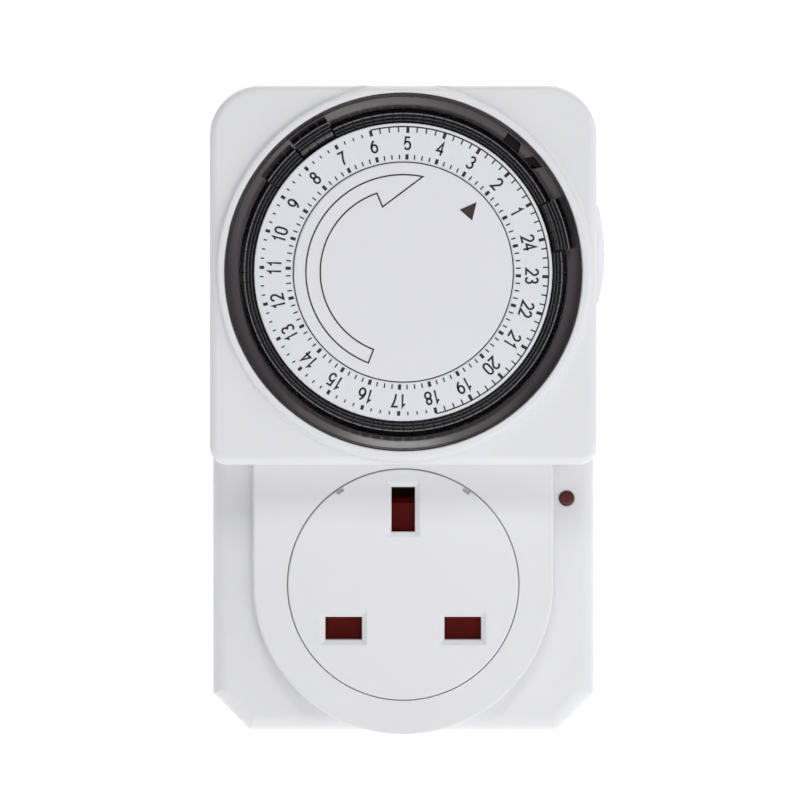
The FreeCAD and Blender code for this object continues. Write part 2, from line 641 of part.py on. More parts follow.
def socket_shutter():
    """Sliding plate behind the slots: a cross bar for the line slots and a stem up to the earth slot."""
    bar = box(-SHUTTER_BAR_HALF, SHUTTER_BAR_HALF, SHUTTER_FRONT_Y, SHUTTER_BACK_Y,
              SHUTTER_BAR_BOTTOM_Z, SHUTTER_BAR_TOP_Z)
    stem = box(-SHUTTER_STEM_HALF, SHUTTER_STEM_HALF, SHUTTER_FRONT_Y, SHUTTER_BACK_Y,
               SHUTTER_BAR_BOTTOM_Z, SHUTTER_TOP_Z)
    plate = bar.fuse(stem).removeSplitter()
    lip = [edge for edge in edges_at(plate, SHUTTER_FRONT_Y)
           if abs(edge.CenterOfMass.z - SHUTTER_TOP_Z) < 0.001]
    return plate.makeChamfer(SHUTTER_RAMP, lip)


def shutter_spring():
    """Coil spring that lifts the shutter back up, as half turns that lean to and fro and meet in line."""
    top = SHUTTER_BAR_BOTTOM_Z - PRESS_GAP
    foot = SHUTTER_BAR_BOTTOM_Z - SPRING_LENGTH + PRESS_GAP
    centre_y = (SHUTTER_FRONT_Y + SHUTTER_BACK_Y) / 2.0 - SPRING_OFFSET_Y
    rise = (top - foot - 2 * SPRING_WIRE_R) / (2 * SPRING_TURNS)
    lean = math.degrees(math.atan2(rise / 2.0, SPRING_R))
    halves = []
    for index in range(2 * SPRING_TURNS):
        half = Part.makeTorus(math.hypot(SPRING_R, rise / 2.0), SPRING_WIRE_R, vec(0, 0, 0), vec(0, 0, 1),
                              0, 360, 180)
        half.rotate(vec(0, 0, 0), vec(0, 0, 1), 180.0 * (index % 2))
        half.rotate(vec(0, 0, 0), vec(0, 1, 0), lean if index % 2 else -lean)
        half.translate(vec(0, centre_y, foot + SPRING_WIRE_R + rise * (index + 0.5)))
        halves.append(half)
    return halves[0].fuse(halves[1:])


def tipped_pin(x, z, width, height, y0, y1):
    """A flat pin with a chamfered tip."""
    pin = block(x, z, width, height, y0, y1)
    return pin.makeChamfer(PIN_TIP_CHAMFER, edges_at(pin, y1))


def line_pin(x, tail_y):
    """Line pin: full size beyond the sleeve, thinner inside it, with a tail into the case."""
    core = block(x, LINE_Z, LINE_PIN_WIDTH - 2 * SLEEVE_THICK, LINE_PIN_HEIGHT - 2 * SLEEVE_THICK,
                 tail_y, SLEEVE_LENGTH + 1.0)
    return core.fuse(tipped_pin(x, LINE_Z, LINE_PIN_WIDTH, LINE_PIN_HEIGHT, SLEEVE_LENGTH, LINE_PIN_LENGTH))


def pin_sleeve(x):
    """Black insulating sleeve around the root of a line pin."""
    outer = block(x, LINE_Z, LINE_PIN_WIDTH, LINE_PIN_HEIGHT, SLEEVE_ROOT_Y, SLEEVE_LENGTH)
    inner = block(x, LINE_Z, LINE_PIN_WIDTH - 2 * SLEEVE_THICK, LINE_PIN_HEIGHT - 2 * SLEEVE_THICK,
                  SLEEVE_ROOT_Y - 1.0, SLEEVE_LENGTH + 1.0)
    return outer.cut(inner)


def line_contact(x):
    """Sprung clip with a blade above and a blade below the pin."""
    height = CONTACT_GAP + 2 * CONTACT_THICK
    clip = block(x, LINE_Z, CONTACT_WIDTH, height, CONTACT_FRONT_Y, LINE_CONTACT_BACK_Y)
    return clip.cut(block(x, LINE_Z, CONTACT_WIDTH + 1.0, CONTACT_GAP, CONTACT_FRONT_Y - 1.0,
                          LINE_CONTACT_BACK_Y - CONTACT_THICK))


def earth_contact():
    """Sprung clip with a blade on each side of the earth pin."""
    width = CONTACT_GAP + 2 * CONTACT_THICK
    clip = block(0, EARTH_Z, width, EARTH_CONTACT_WIDTH, CONTACT_FRONT_Y, EARTH_CONTACT_BACK_Y)
    return clip.cut(block(0, EARTH_Z, CONTACT_GAP, EARTH_CONTACT_WIDTH + 1.0, CONTACT_FRONT_Y - 1.0,
                          EARTH_CONTACT_BACK_Y - CONTACT_THICK))


def contact_carrier():
    """Moulded block that holds the three contacts and the tails of the pins."""
    base = box(-CARRIER_HALF_WIDTH, CARRIER_HALF_WIDTH, CARRIER_BASE_Y, CARRIER_BACK_Y,
               CARRIER_BOTTOM_Z, CARRIER_TOP_Z)
    clip_height = CONTACT_GAP + 2 * (CONTACT_THICK + CONTACT_FIT)
    clip_width = CONTACT_WIDTH + 2 * CONTACT_FIT
    earth_height = EARTH_CONTACT_WIDTH + 2 * CONTACT_FIT
    body = base.fuse([block(x, LINE_Z, clip_width + 2 * CARRIER_WALL, clip_height + 2 * CARRIER_WALL,
                            CARRIER_FRONT_Y, CARRIER_BASE_Y + 0.5) for x in (-LINE_X, LINE_X)])
    body = body.fuse(block(0, EARTH_Z, clip_height + 2 * CARRIER_WALL, earth_height + 2 * CARRIER_WALL,
                           CARRIER_FRONT_Y, CARRIER_BASE_Y + 0.5))
    for x in (-LINE_X, LINE_X):
        body = body.cut(block(x, LINE_Z, clip_width, clip_height, CARRIER_FRONT_Y - 1.0,
                              LINE_CONTACT_BACK_Y + CONTACT_END_GAP))
        body = body.cut(block(x, LINE_Z, LINE_PIN_WIDTH - 2 * SLEEVE_THICK + 2 * PIN_FIT,
                              LINE_PIN_HEIGHT - 2 * SLEEVE_THICK + 2 * PIN_FIT,
                              LINE_CONTACT_BACK_Y - 1.0, 0.0))
    body = body.cut(block(0, EARTH_Z, clip_height, earth_height, CARRIER_FRONT_Y - 1.0,
                          EARTH_CONTACT_BACK_Y + CONTACT_END_GAP))
    body = body.cut(block(0, EARTH_Z, EARTH_PIN_WIDTH + 2 * PIN_FIT, EARTH_PIN_HEIGHT + 2 * PIN_FIT,
                          EARTH_CONTACT_BACK_Y - 1.0, 0.0))
    return body.removeSplitter()


# --- neon indicator -----------------------------------------------------
def neon_lens():
    """Small round lens pushed in from behind until its flange meets the wall."""
    front = LOWER_FACE_Y - LENS_PROUD
    flange_y = LOWER_INNER_Y + WALL_SEAT_GAP
    stem = rod(NEON_X, NEON_Z, LENS_R, front, flange_y + LENS_FLANGE_THICK)
    stem = stem.makeFillet(LENS_PROUD * 0.9, edges_at(stem, front))
    return stem.fuse(rod(NEON_X, NEON_Z, LENS_FLANGE_R, flange_y, flange_y + LENS_FLANGE_THICK))


def neon_lamp():
    """Glass neon lamp lying upright behind the lens."""
    centre_y = LOWER_INNER_Y + WALL_SEAT_GAP + LENS_FLANGE_THICK + LAMP_GAP + LAMP_R
    top = NEON_Z + LAMP_R
    tube = Part.makeCylinder(LAMP_R, LAMP_LENGTH - LAMP_R, vec(NEON_X, centre_y, top - LAMP_LENGTH))
    return tube.fuse(Part.makeSphere(LAMP_R, vec(NEON_X, centre_y, top - LAMP_R)))


# --- dial ---------------------------------------------------------------
def toothed_outline(centre, module, teeth, phase):
    """Straight-flanked thin teeth, so that meshing flanks stay clear of each other."""
    radius = module * teeth / 2.0
    pitch = 360.0 / teeth
    tip = radius + 0.6 * module
    root = radius - 1.0 * module
    points = []
    for tooth in range(teeth):
        middle = phase + tooth * pitch
        points.append(polar(centre, root, middle - 0.24 * pitch))
        points.append(polar(centre, tip, middle - 0.09 * pitch))
        points.append(polar(centre, tip, middle + 0.09 * pitch))
        points.append(polar(centre, root, middle + 0.24 * pitch))
    return points


def toothed(centre, module, teeth, phase, y0, y1):
    return prism(toothed_outline(centre, module, teeth, phase), y0, y1)


def bearing_angle(a, b):
    """The direction from point a to point b, in degrees."""
    return math.degrees(math.atan2(b[1] - a[1], b[0] - a[0]))


def train_points():
    """Axes of the motor, the four train gears and the clutch, each a centre distance from the last."""
    points = [(MOTOR_X, MOTOR_Z)]
    for teeth, angle in zip(WHEEL_TEETH, TRAIN_ANGLES):
        points.append(polar(points[-1], TRAIN_MODULE * (PINION_TEETH + teeth) / 2.0, angle))
    reach = CLUTCH_MODULE * (PINION_TEETH + CLUTCH_TEETH) / 2.0
    points.append(polar(points[-1], reach, TRAIN_ANGLES[-1]))
    return points


def plate_posts():
    return [polar((0.0, DIAL_Z), PLATE_POST_CIRCLE_R, angle) for angle in PLATE_POST_ANGLES]


def motor_ears():
    return [polar((MOTOR_X, MOTOR_Z), MOTOR_EAR_REACH, angle) for angle in MOTOR_EAR_ANGLES]


def drive_module():
    """Module of the last pair, from the distance between the clutch and the dial axis."""
    x, z = train_points()[-1]
    return 2.0 * math.hypot(x, z - DIAL_Z) / (PINION_TEETH + DIAL_GEAR_TEETH)


def dial_wheel():
    """Black dial body: hub, deck and floor that guide the tappets, and the gear behind them."""
    module = drive_module()
    gear_root = module * DIAL_GEAR_TEETH / 2.0 - module
    deck = rod(0, DIAL_Z, DECK_R, DECK_TOP_Y, DECK_BACK_Y)
    spacer = ring(0, DIAL_Z, SPACER_R, RING_INNER_R, DECK_BACK_Y - 0.2, FLOOR_TOP_Y + 0.2)
    floor = ring(0, DIAL_Z, FLOOR_R, RING_INNER_R, FLOOR_TOP_Y, FLOOR_BACK_Y)
    hub = rod(0, DIAL_Z, HUB_R, DECK_TOP_Y, PLATE_FRONT_Y - DIAL_END_GAP)
    skirt_r = gear_root - SKIRT_INSET
    skirt = ring(0, DIAL_Z, skirt_r, skirt_r - SKIRT_WALL, DECK_BACK_Y - 0.2, DIAL_GEAR_BACK_Y)
    phase = bearing_angle((0.0, DIAL_Z), train_points()[-1]) + 180.0 / DIAL_GEAR_TEETH
    gear = toothed((0.0, DIAL_Z), module, DIAL_GEAR_TEETH, phase, DIAL_GEAR_FRONT_Y, DIAL_GEAR_BACK_Y)
    gear = gear.cut(rod(0, DIAL_Z, skirt_r - SKIRT_WALL, DIAL_GEAR_FRONT_Y - 1.0, 0.0))
    wheel = deck.fuse([spacer, floor, hub, skirt, gear])
    wheel = wheel.cut(rod(0, DIAL_Z, POST_R + HUB_FIT, DECK_TOP_Y - 1.0, 0.0))
    return wheel.removeSplitter()


def dial_ring():
    """White number ring on the deck; its edge overhangs the tappets, which slide out from under it."""
    front = DECK_TOP_Y - RING_THICK
    body = ring(0, DIAL_Z, RING_OUTER_R, RING_INNER_R, front, DECK_TOP_Y)
    return body.makeChamfer(RING_CHAMFER, edges_at(body, front))


def centre_disc():
    """Fixed white disc with the turning arrow; its stem plugs into the central post."""
    back = DECK_TOP_Y - DISC_LIFT
    disc = rod(0, DIAL_Z, DISC_R, DISC_TOP_Y, back)
    disc = disc.makeFillet(0.25, edges_at(disc, DISC_TOP_Y))
    return disc.fuse(rod(0, DIAL_Z, STEM_R, back - 0.2, STEM_END_Y))


def tappet_profile():
    """Section of one slider as (radius, y): tongue, slope, ribs for the finger, end block and foot."""
    tongue_back = FLOOR_TOP_Y - TAPPET_CLEAR
    tongue_front = DECK_BACK_Y + TAPPET_CLEAR
    top = DECK_TOP_Y + HEAD_DROP
    groove = top + RIB_HEIGHT
    block_r = HEAD_OUTER_R - BLOCK_WIDTH
    profile = [(TONGUE_INNER_R, tongue_back), (TONGUE_INNER_R, tongue_front),
               (HEAD_INNER_R, tongue_front), (HEAD_INNER_R, HEAD_WALL_Y)]
    for rib in range(RIB_COUNT):
        middle = block_r - RIB_FIRST - RIB_PITCH * (RIB_COUNT - 1 - rib)
        profile += [(middle - RIB_WIDTH / 2.0, top), (middle + RIB_WIDTH / 2.0, top),
                    (middle + RIB_WIDTH / 2.0 + RIB_SLOPE, groove)]
        if rib < RIB_COUNT - 1:
            profile.append((middle + RIB_PITCH - RIB_WIDTH / 2.0 - RIB_SLOPE, groove))
    profile += [(block_r - BLOCK_SLOPE, groove), (block_r, top), (HEAD_OUTER_R, top + BLOCK_FALL),
                (HEAD_OUTER_R, HEAD_UNDER_Y), (FOOT_OUTER_R, HEAD_UNDER_Y), (FOOT_OUTER_R, FOOT_END_Y),
                (FOOT_INNER_R, FOOT_END_Y), (FOOT_INNER_R, tongue_back)]
    return profile


def tappet(angle):
    """One slider at an angle clockwise from the top."""
    middle_r = (RING_OUTER_R + HEAD_OUTER_R) / 2.0
    half = QUARTER_ANGLE / 2.0 - math.degrees(TAPPET_GAP / 2.0 / middle_r)
    corners = [vec(r, y, 0) for r, y in tappet_profile()]
    section = Part.Face(Part.makePolygon(corners + corners[:1]))
    section.rotate(vec(0, 0, 0), vec(0, 1, 0), half)
    solid = section.revolve(vec(0, 0, 0), vec(0, 1, 0), -2.0 * half)
    solid.rotate(vec(0, 0, 0), vec(0, 1, 0), angle - 90.0)
    solid.translate(vec(0, 0, DIAL_Z))
    return solid


def dial_angle(hour):
    """Where an hour stands at rest, clockwise from the top; the hours run the other way round."""
    return DIAL_REST_ANGLE - HOUR_ANGLE * (hour - HOUR_AT_TOP)


def tappet_groups():
    """Group number, quarters from midnight and how far the group stands out at rest."""
    groups = []
    for hour in range(1, 25):
        first = 4 * hour
        count = 4
        if hour == 23:
            count = 3
        if hour == 24:
            first = 4 * 24 - 1
            count = 5
        out = {7: TAPPET_TRAVEL, 8: TAPPET_HALF_OUT, 24: TAPPET_TRAVEL}.get(hour, 0.0)
        groups.append((hour, [first + step for step in range(count)], out))
    return groups


def tappet_group(quarters, out):
    """The sliders of one hour, moved out together along the middle of the group."""
    middle = dial_angle((quarters[0] + quarters[-1]) / 8.0)
    x, z = clock(out, middle)
    solids = []
    for quarter in quarters:
        solid = tappet(dial_angle(quarter / 4.0))
        solid.translate(vec(x, 0, z - DIAL_Z))
        solids.append(solid)
    return solids


def bezel_window(tip_from, tip_to, root_from, root_to):
    """A four-sided cutter through the cone, between clock angles at its inner and outer edges."""
    tip_r = BEZEL_INNER_R + MARKER_RIM
    root_r = BEZEL_CONE_R - MARKER_RIM
    corners = [clock(tip_r, tip_from), clock(tip_r, tip_to), clock(root_r, root_to), clock(root_r, root_from)]
    return prism(corners, BEZEL_TOP_Y, HOOD_INNER_Y + 5.0)


def dial_bezel():
    """Glossy dark ring around the dial: a dished cone with an upright band, slotted at both sides.

    Two windows in the cone leave a bar between them, which tapers towards the dial as the time marker."""
    ledge = BEZEL_OUTER_R + BEZEL_LEDGE
    ledge_y = HOOD_INNER_Y + WALL_SEAT_GAP
    body = turned([(BEZEL_INNER_R, BEZEL_INNER_Y), (BEZEL_CONE_R, BEZEL_CONE_Y),
                   (BEZEL_CONE_R + BEZEL_TAPER, BEZEL_TOP_Y), (BEZEL_OUTER_R, BEZEL_TOP_Y), (BEZEL_OUTER_R, ledge_y),
                   (ledge, ledge_y), (ledge, ledge_y + 1.1), (BEZEL_OUTER_R, ledge_y + 1.5),
                   (BEZEL_INNER_R, BEZEL_INNER_Y + BEZEL_SKIN)], 0, DIAL_Z)
    slot_floor = BEZEL_CONE_Y - BEZEL_SLOT_DEPTH
    reach = BEZEL_CONE_R + 3.0
    for side in (-1, 1):
        rise = reach * math.tan(math.radians(BEZEL_SLOT_HALF_ANGLE))
        wedge = prism([(0.0, DIAL_Z), (side * reach, DIAL_Z - rise), (side * reach, DIAL_Z + rise)],
                      BEZEL_TOP_Y - 1.0, slot_floor)
        body = body.cut(wedge.cut(rod(0, DIAL_Z, BEZEL_CONE_R - 0.05, BEZEL_TOP_Y - 2.0, 0.0)))
    left_tip = MARKER_ANGLE - MARKER_TIP_HALF
    left_root = MARKER_ANGLE - MARKER_ROOT_HALF
    right_tip = MARKER_ANGLE + MARKER_TIP_HALF
    right_root = MARKER_ANGLE + MARKER_ROOT_HALF
    body = body.cut(bezel_window(left_tip - LEFT_WINDOW_TIP, left_tip, left_root - LEFT_WINDOW_ROOT, left_root))
    return body.cut(bezel_window(right_tip, right_tip + RIGHT_WINDOW_WIDTH,
                                 right_root, right_root + RIGHT_WINDOW_WIDTH))


# --- mechanism ----------------------------------------------------------
def wheel_plane(index):
    """Front and back of the wheel of train gear number index, counted from 1."""
    back = MOTOR_FRONT_Y - TRAIN_GAP_Y - WHEEL_PITCH_Y * (index - 1)
    return back - WHEEL_THICK, back


def mechanism_plate():
    """Round plate that carries the dial post in front and the gear pins, motor and switch behind."""
    points = train_points()
    plate = rod(0, DIAL_Z, PLATE_R, PLATE_FRONT_Y, PLATE_BACK_Y)
    post = rod(0, DIAL_Z, POST_R, POST_TOP_Y, PLATE_FRONT_Y + 0.5)
    plate = plate.fuse(post).cut(rod(0, DIAL_Z, STEM_R + STEM_FIT, POST_TOP_Y - 1.0, STEM_END_Y + 0.5))
    for index, (x, z) in enumerate(points[1:5], start=1):
        plate = plate.fuse(rod(x, z, ARBOR_R, PLATE_BACK_Y - 0.5, wheel_plane(index)[1]))
    for x, z in motor_ears():
        stud = rod(x, z, MOTOR_STUD_R, PLATE_BACK_Y - 0.5, MOTOR_FRONT_Y)
        tip = rod(x, z, MOTOR_STUD_TIP_R, MOTOR_FRONT_Y - 0.5, MOTOR_FRONT_Y + MOTOR_WALL + 0.5)
        plate = plate.fuse([stud, tip])
    for x, z in switch_pegs():
        plate = plate.fuse(rod(x, z, SWITCH_PEG_R, PLATE_BACK_Y - 0.5, SWITCH_BACK_Y - 0.3))
    for x, z in plate_posts():
        plate = plate.cut(rod(x, z, PLATE_STUB_R + PLATE_STUB_FIT, PLATE_FRONT_Y - 1.0, PLATE_BACK_Y + 0.1))
    x, z = points[-1]
    plate = plate.cut(rod(x, z, DRIVE_SHAFT_R + DRIVE_FIT, PLATE_FRONT_Y - 1.0, PLATE_BACK_Y + 1.0))
    plate = plate.cut(rod(LEVER_X, LEVER_Z, LEVER_HUB_R + 0.6, PLATE_FRONT_Y - 1.0, PLATE_BACK_Y + 1.0))
    return plate.removeSplitter()


def train_gear(index):
    """Wheel and pinion in one piece, turning on its pin in the plate."""
    points = train_points()
    centre = points[index]
    wheel_front, wheel_back = wheel_plane(index)
    pinion_front = wheel_plane(index + 1)[0]
    toward_last = bearing_angle(centre, points[index - 1])
    wheel = toothed(centre, TRAIN_MODULE, WHEEL_TEETH[index - 1],
                    toward_last + 180.0 / WHEEL_TEETH[index - 1], wheel_front, wheel_back)
    module = CLUTCH_MODULE if index == len(WHEEL_TEETH) else TRAIN_MODULE
    pinion = toothed(centre, module, PINION_TEETH, bearing_angle(centre, points[index + 1]),
                     pinion_front, wheel_front + 0.2)
    collar = rod(centre[0], centre[1], COLLAR_R, PLATE_BACK_Y + 0.15, pinion_front + 0.2)
    body = wheel.fuse([pinion, collar])
    return body.cut(rod(centre[0], centre[1], ARBOR_R + ARBOR_FIT, PLATE_BACK_Y - 1.0, wheel_back + 1.0))


def clutch_wheel():
    """Last wheel of the train; it slips on the drive shaft when the dial is set by hand."""
    points = train_points()
    centre = points[-1]
    front, back = wheel_plane(len(WHEEL_TEETH) + 1)
    phase = bearing_angle(centre, points[-2]) + 180.0 / CLUTCH_TEETH
    wheel = toothed(centre, CLUTCH_MODULE, CLUTCH_TEETH, phase, front, back)
    return wheel.cut(rod(centre[0], centre[1], DRIVE_SHAFT_R + DRIVE_FIT, front - 1.0, back + 1.0))


def drive_pinion():
    """Shaft through the plate: pinion on the dial gear in front, clutch flanges behind."""
    centre = train_points()[-1]
    x, z = centre
    front, back = wheel_plane(len(WHEEL_TEETH) + 1)
    pinion = toothed(centre, drive_module(), PINION_TEETH, bearing_angle(centre, (0.0, DIAL_Z)),
                     DIAL_GEAR_FRONT_Y - 0.2, PLATE_FRONT_Y - DIAL_END_GAP)
    rear_flange = back + CLUTCH_END_GAP
    shaft = rod(x, z, DRIVE_SHAFT_R, DIAL_GEAR_FRONT_Y, rear_flange + CLUTCH_FLANGE_THICK)
    shoulder = rod(x, z, CLUTCH_FLANGE_R, PLATE_BACK_Y + 0.15, front - CLUTCH_END_GAP)
    washer = rod(x, z, CLUTCH_FLANGE_R, rear_flange, rear_flange + CLUTCH_FLANGE_THICK)
    return shaft.fuse([pinion, shoulder, washer])


def motor_can():
    """Deep-drawn steel can of the synchronous motor, open to the front."""
    front = MOTOR_FRONT_Y + MOTOR_WALL
    back = MOTOR_FRONT_Y + MOTOR_DEPTH
    can = rod(MOTOR_X, MOTOR_Z, MOTOR_R, front, back)
    can = can.cut(rod(MOTOR_X, MOTOR_Z, MOTOR_R - MOTOR_WALL, front - 1.0, back - MOTOR_WALL))
    return can.cut(rod(MOTOR_X, MOTOR_Z, SHAFT_R + SHAFT_FIT, front, back + 1.0))


def motor_lid():
    """Front plate of the motor with two fixing ears and the hole for the pinion."""
    lid = rod(MOTOR_X, MOTOR_Z, MOTOR_R, MOTOR_FRONT_Y, MOTOR_FRONT_Y + MOTOR_WALL)
    back = MOTOR_FRONT_Y + MOTOR_WALL
    for x, z in motor_ears():
        lid = lid.fuse(bar_between((MOTOR_X, MOTOR_Z), (x, z), 2 * MOTOR_EAR_R, MOTOR_FRONT_Y, back))
    for x, z in motor_ears():
        lid = lid.cut(rod(x, z, MOTOR_STUD_TIP_R + MOTOR_STUD_FIT, MOTOR_FRONT_Y - 1.0, back + 1.0))
    lid = lid.cut(rod(MOTOR_X, MOTOR_Z, SHAFT_R + SHAFT_FIT, MOTOR_FRONT_Y - 1.0, back + 1.0))
    return lid.removeSplitter()


def coil_span():
    """Front and back of the coil space inside the motor."""
    return MOTOR_FRONT_Y + MOTOR_WALL + 0.3, MOTOR_FRONT_Y + MOTOR_DEPTH - MOTOR_WALL - 0.3


def motor_bobbin():
    """Plastic reel for the motor winding."""
    front, back = coil_span()
    reel = rod(MOTOR_X, MOTOR_Z, COIL_OUTER_R + 0.4, front, back)
    groove = ring(MOTOR_X, MOTOR_Z, COIL_OUTER_R + 2.0, COIL_INNER_R, front + BOBBIN_WALL, back - BOBBIN_WALL)
    bore = rod(MOTOR_X, MOTOR_Z, COIL_INNER_R - BOBBIN_WALL, front - 1.0, back + 1.0)
    return reel.cut(groove).cut(bore)


def motor_winding():
    """Copper winding that fills the reel."""
    front, back = coil_span()
    return ring(MOTOR_X, MOTOR_Z, COIL_OUTER_R, COIL_INNER_R + 0.02, front + BOBBIN_WALL + 0.02,
                back - BOBBIN_WALL - 0.02)


def motor_rotor():
    """Magnet rotor on its shaft, with the first pinion in front of the lid."""
    front, back = coil_span()
    magnet = rod(MOTOR_X, MOTOR_Z, MAGNET_R, front + 0.4, back - 0.4)
    pinion_front, pinion_back = wheel_plane(1)
    shaft = rod(MOTOR_X, MOTOR_Z, SHAFT_R, pinion_front, MOTOR_FRONT_Y + MOTOR_DEPTH - 0.1)
    toward_next = bearing_angle(train_points()[0], train_points()[1])
    pinion = toothed((MOTOR_X, MOTOR_Z), TRAIN_MODULE, PINION_TEETH, toward_next, pinion_front, pinion_back)
    return magnet.fuse([shaft, pinion])


# --- switch gear --------------------------------------------------------
def lever_nose():
    """The nose stands beside the marker, just clear of a slider that is fully out."""
    foot_r = FOOT_OUTER_R + TAPPET_TRAVEL
    return clock(foot_r + LEVER_NOSE_GAP + LEVER_NOSE_R, LEVER_NOSE_ANGLE)


def trip_lever():
    """Lever on its pin: a nose at the dial, a tab for the override and an arm on the switch."""
    pivot = (LEVER_X, LEVER_Z)
    nose = lever_nose()
    tab = (CARRIAGE_X - LEVER_TAB_INSET, LEVER_TAB_Z)
    hub_back = LEVER_SEAT_Y - LEVER_END_GAP
    press_back = PRESS_ARM_FRONT_Y + PRESS_ARM_THICK
    lever = rod(LEVER_X, LEVER_Z, LEVER_HUB_R, LEVER_FRONT_Y, hub_back)
    lever = lever.fuse([
        bar_between(pivot, nose, LEVER_ARM_WIDTH, LEVER_FRONT_Y, LEVER_BACK_Y),
        rod(nose[0], nose[1], LEVER_NOSE_R, LEVER_FRONT_Y, LEVER_BACK_Y),
        bar_between(nose, tab, 2 * LEVER_TAB_R, LEVER_FRONT_Y, LEVER_BACK_Y),
        bar_between(pivot, (PRESS_ARM_X, LEVER_Z), 2 * PRESS_TIP_R, PRESS_ARM_FRONT_Y, press_back)])
    lever = lever.cut(rod(LEVER_X, LEVER_Z, LEVER_PIN_R + LEVER_PIN_FIT, LEVER_FRONT_Y - 1.0, 0.0))
    return lever.removeSplitter()


def knob_profile(base_x):
    """Side view of the knob: a low arc from end to end."""
    low = KNOB_Z - KNOB_LENGTH / 2.0
    high = KNOB_Z + KNOB_LENGTH / 2.0
    top = HALF_WIDTH + KNOB_RISE - KNOB_RIB_R * 0.6
    arc = Part.Arc(vec(base_x, KNOB_FRONT_Y, low), vec(top, KNOB_FRONT_Y, KNOB_Z),
                   vec(base_x, KNOB_FRONT_Y, high)).toShape()
    chord = Part.makeLine(vec(base_x, KNOB_FRONT_Y, high), vec(base_x, KNOB_FRONT_Y, low))
    return Part.Face(Part.Wire([arc, chord]))


def override_slider():
    """Ribbed knob on the right side, joined through the wall to a carriage with a push rod."""
    knob_back = KNOB_FRONT_Y + KNOB_WIDTH
    base_x = HALF_WIDTH + KNOB_FIT
    dome_x = base_x + KNOB_BASE
    knob = knob_profile(dome_x).extrude(vec(0, KNOB_WIDTH, 0))
    base = box(base_x, dome_x + 0.01, KNOB_FRONT_Y, knob_back,
               KNOB_Z - KNOB_LENGTH / 2.0, KNOB_Z + KNOB_LENGTH / 2.0)
    knob = knob.fuse(base)
    radius = ((KNOB_LENGTH / 2.0) ** 2 + KNOB_RISE ** 2) / (2.0 * KNOB_RISE)
    for rib in range(KNOB_RIBS):
        offset = (rib - (KNOB_RIBS - 1) / 2.0) * KNOB_RIB_PITCH
        sag = radius - math.sqrt(radius ** 2 - offset ** 2)
        x = HALF_WIDTH + KNOB_RISE - KNOB_RIB_R - sag
        ridge = Part.makeCylinder(KNOB_RIB_R, KNOB_WIDTH - 1.6,
                                  vec(x, KNOB_FRONT_Y + 0.8, KNOB_Z + offset), vec(0, 1, 0))
        knob = knob.fuse(ridge)
    shank_y = KNOB_FRONT_Y + KNOB_WIDTH / 2.0
    shank = box(CARRIAGE_X - 0.2, base_x + 0.2, shank_y - SHANK_WIDTH / 2.0, shank_y + SHANK_WIDTH / 2.0,
                KNOB_Z - SHANK_LENGTH / 2.0, KNOB_Z + SHANK_LENGTH / 2.0)
    carriage = box(CARRIAGE_X - CARRIAGE_THICK, CARRIAGE_X, CARRIAGE_FRONT_Y, CARRIAGE_BACK_Y,
                   KNOB_Z - KNOB_LENGTH / 2.0, KNOB_Z + KNOB_LENGTH / 2.0)
    rod_top = LEVER_TAB_Z - LEVER_TAB_R - PRESS_GAP
    push_rod = box(CARRIAGE_X - ROD_REACH, CARRIAGE_X, CARRIAGE_FRONT_Y, CARRIAGE_FRONT_Y + ROD_THICK,
                   KNOB_Z + KNOB_LENGTH / 2.0 - 1.0, rod_top)
    return knob.fuse([shank, carriage, push_rod]).removeSplitter()


def switch_pegs():
    """Places of the two pegs that hold the switch."""
    z = SWITCH_TOP_Z - SWITCH_HEIGHT + SWITCH_PEG_INSET_Z
    return [(SWITCH_LEFT_X + SWITCH_PEG_INSET_X, z),
            (SWITCH_LEFT_X + SWITCH_LENGTH - SWITCH_PEG_INSET_X, z)]


def plunger_place():
    """Where the plunger stands: x, y and its top."""
    return PRESS_ARM_X, PRESS_ARM_FRONT_Y + PRESS_ARM_THICK / 2.0, LEVER_Z - PRESS_TIP_R - PRESS_GAP


def switch_case():
    """Closed case of the snap-action switch, with two peg holes and the plunger's well."""
    bottom = SWITCH_TOP_Z - SWITCH_HEIGHT
    right = SWITCH_LEFT_X + SWITCH_LENGTH
    case = box(SWITCH_LEFT_X, right, SWITCH_FRONT_Y, SWITCH_BACK_Y, bottom, SWITCH_TOP_Z)
    for x, z in switch_pegs():
        case = case.cut(rod(x, z, SWITCH_PEG_R + SWITCH_PEG_FIT, SWITCH_FRONT_Y - 1.0, SWITCH_BACK_Y + 1.0))
    x, y, _ = plunger_place()
    well = Part.makeCylinder(PLUNGER_R + PLUNGER_FIT, SWITCH_HEIGHT, vec(x, y, bottom + SWITCH_SHELL))
    return case.cut(well)


def switch_plunger():
    """Round button of the switch, pushed down by the lever."""
    x, y, top = plunger_place()
    travel = OVERRIDE_TRAVEL
    low = SWITCH_TOP_Z - SWITCH_HEIGHT + SWITCH_SHELL + travel
    return Part.makeCylinder(PLUNGER_R, top - low, vec(x, y, low))


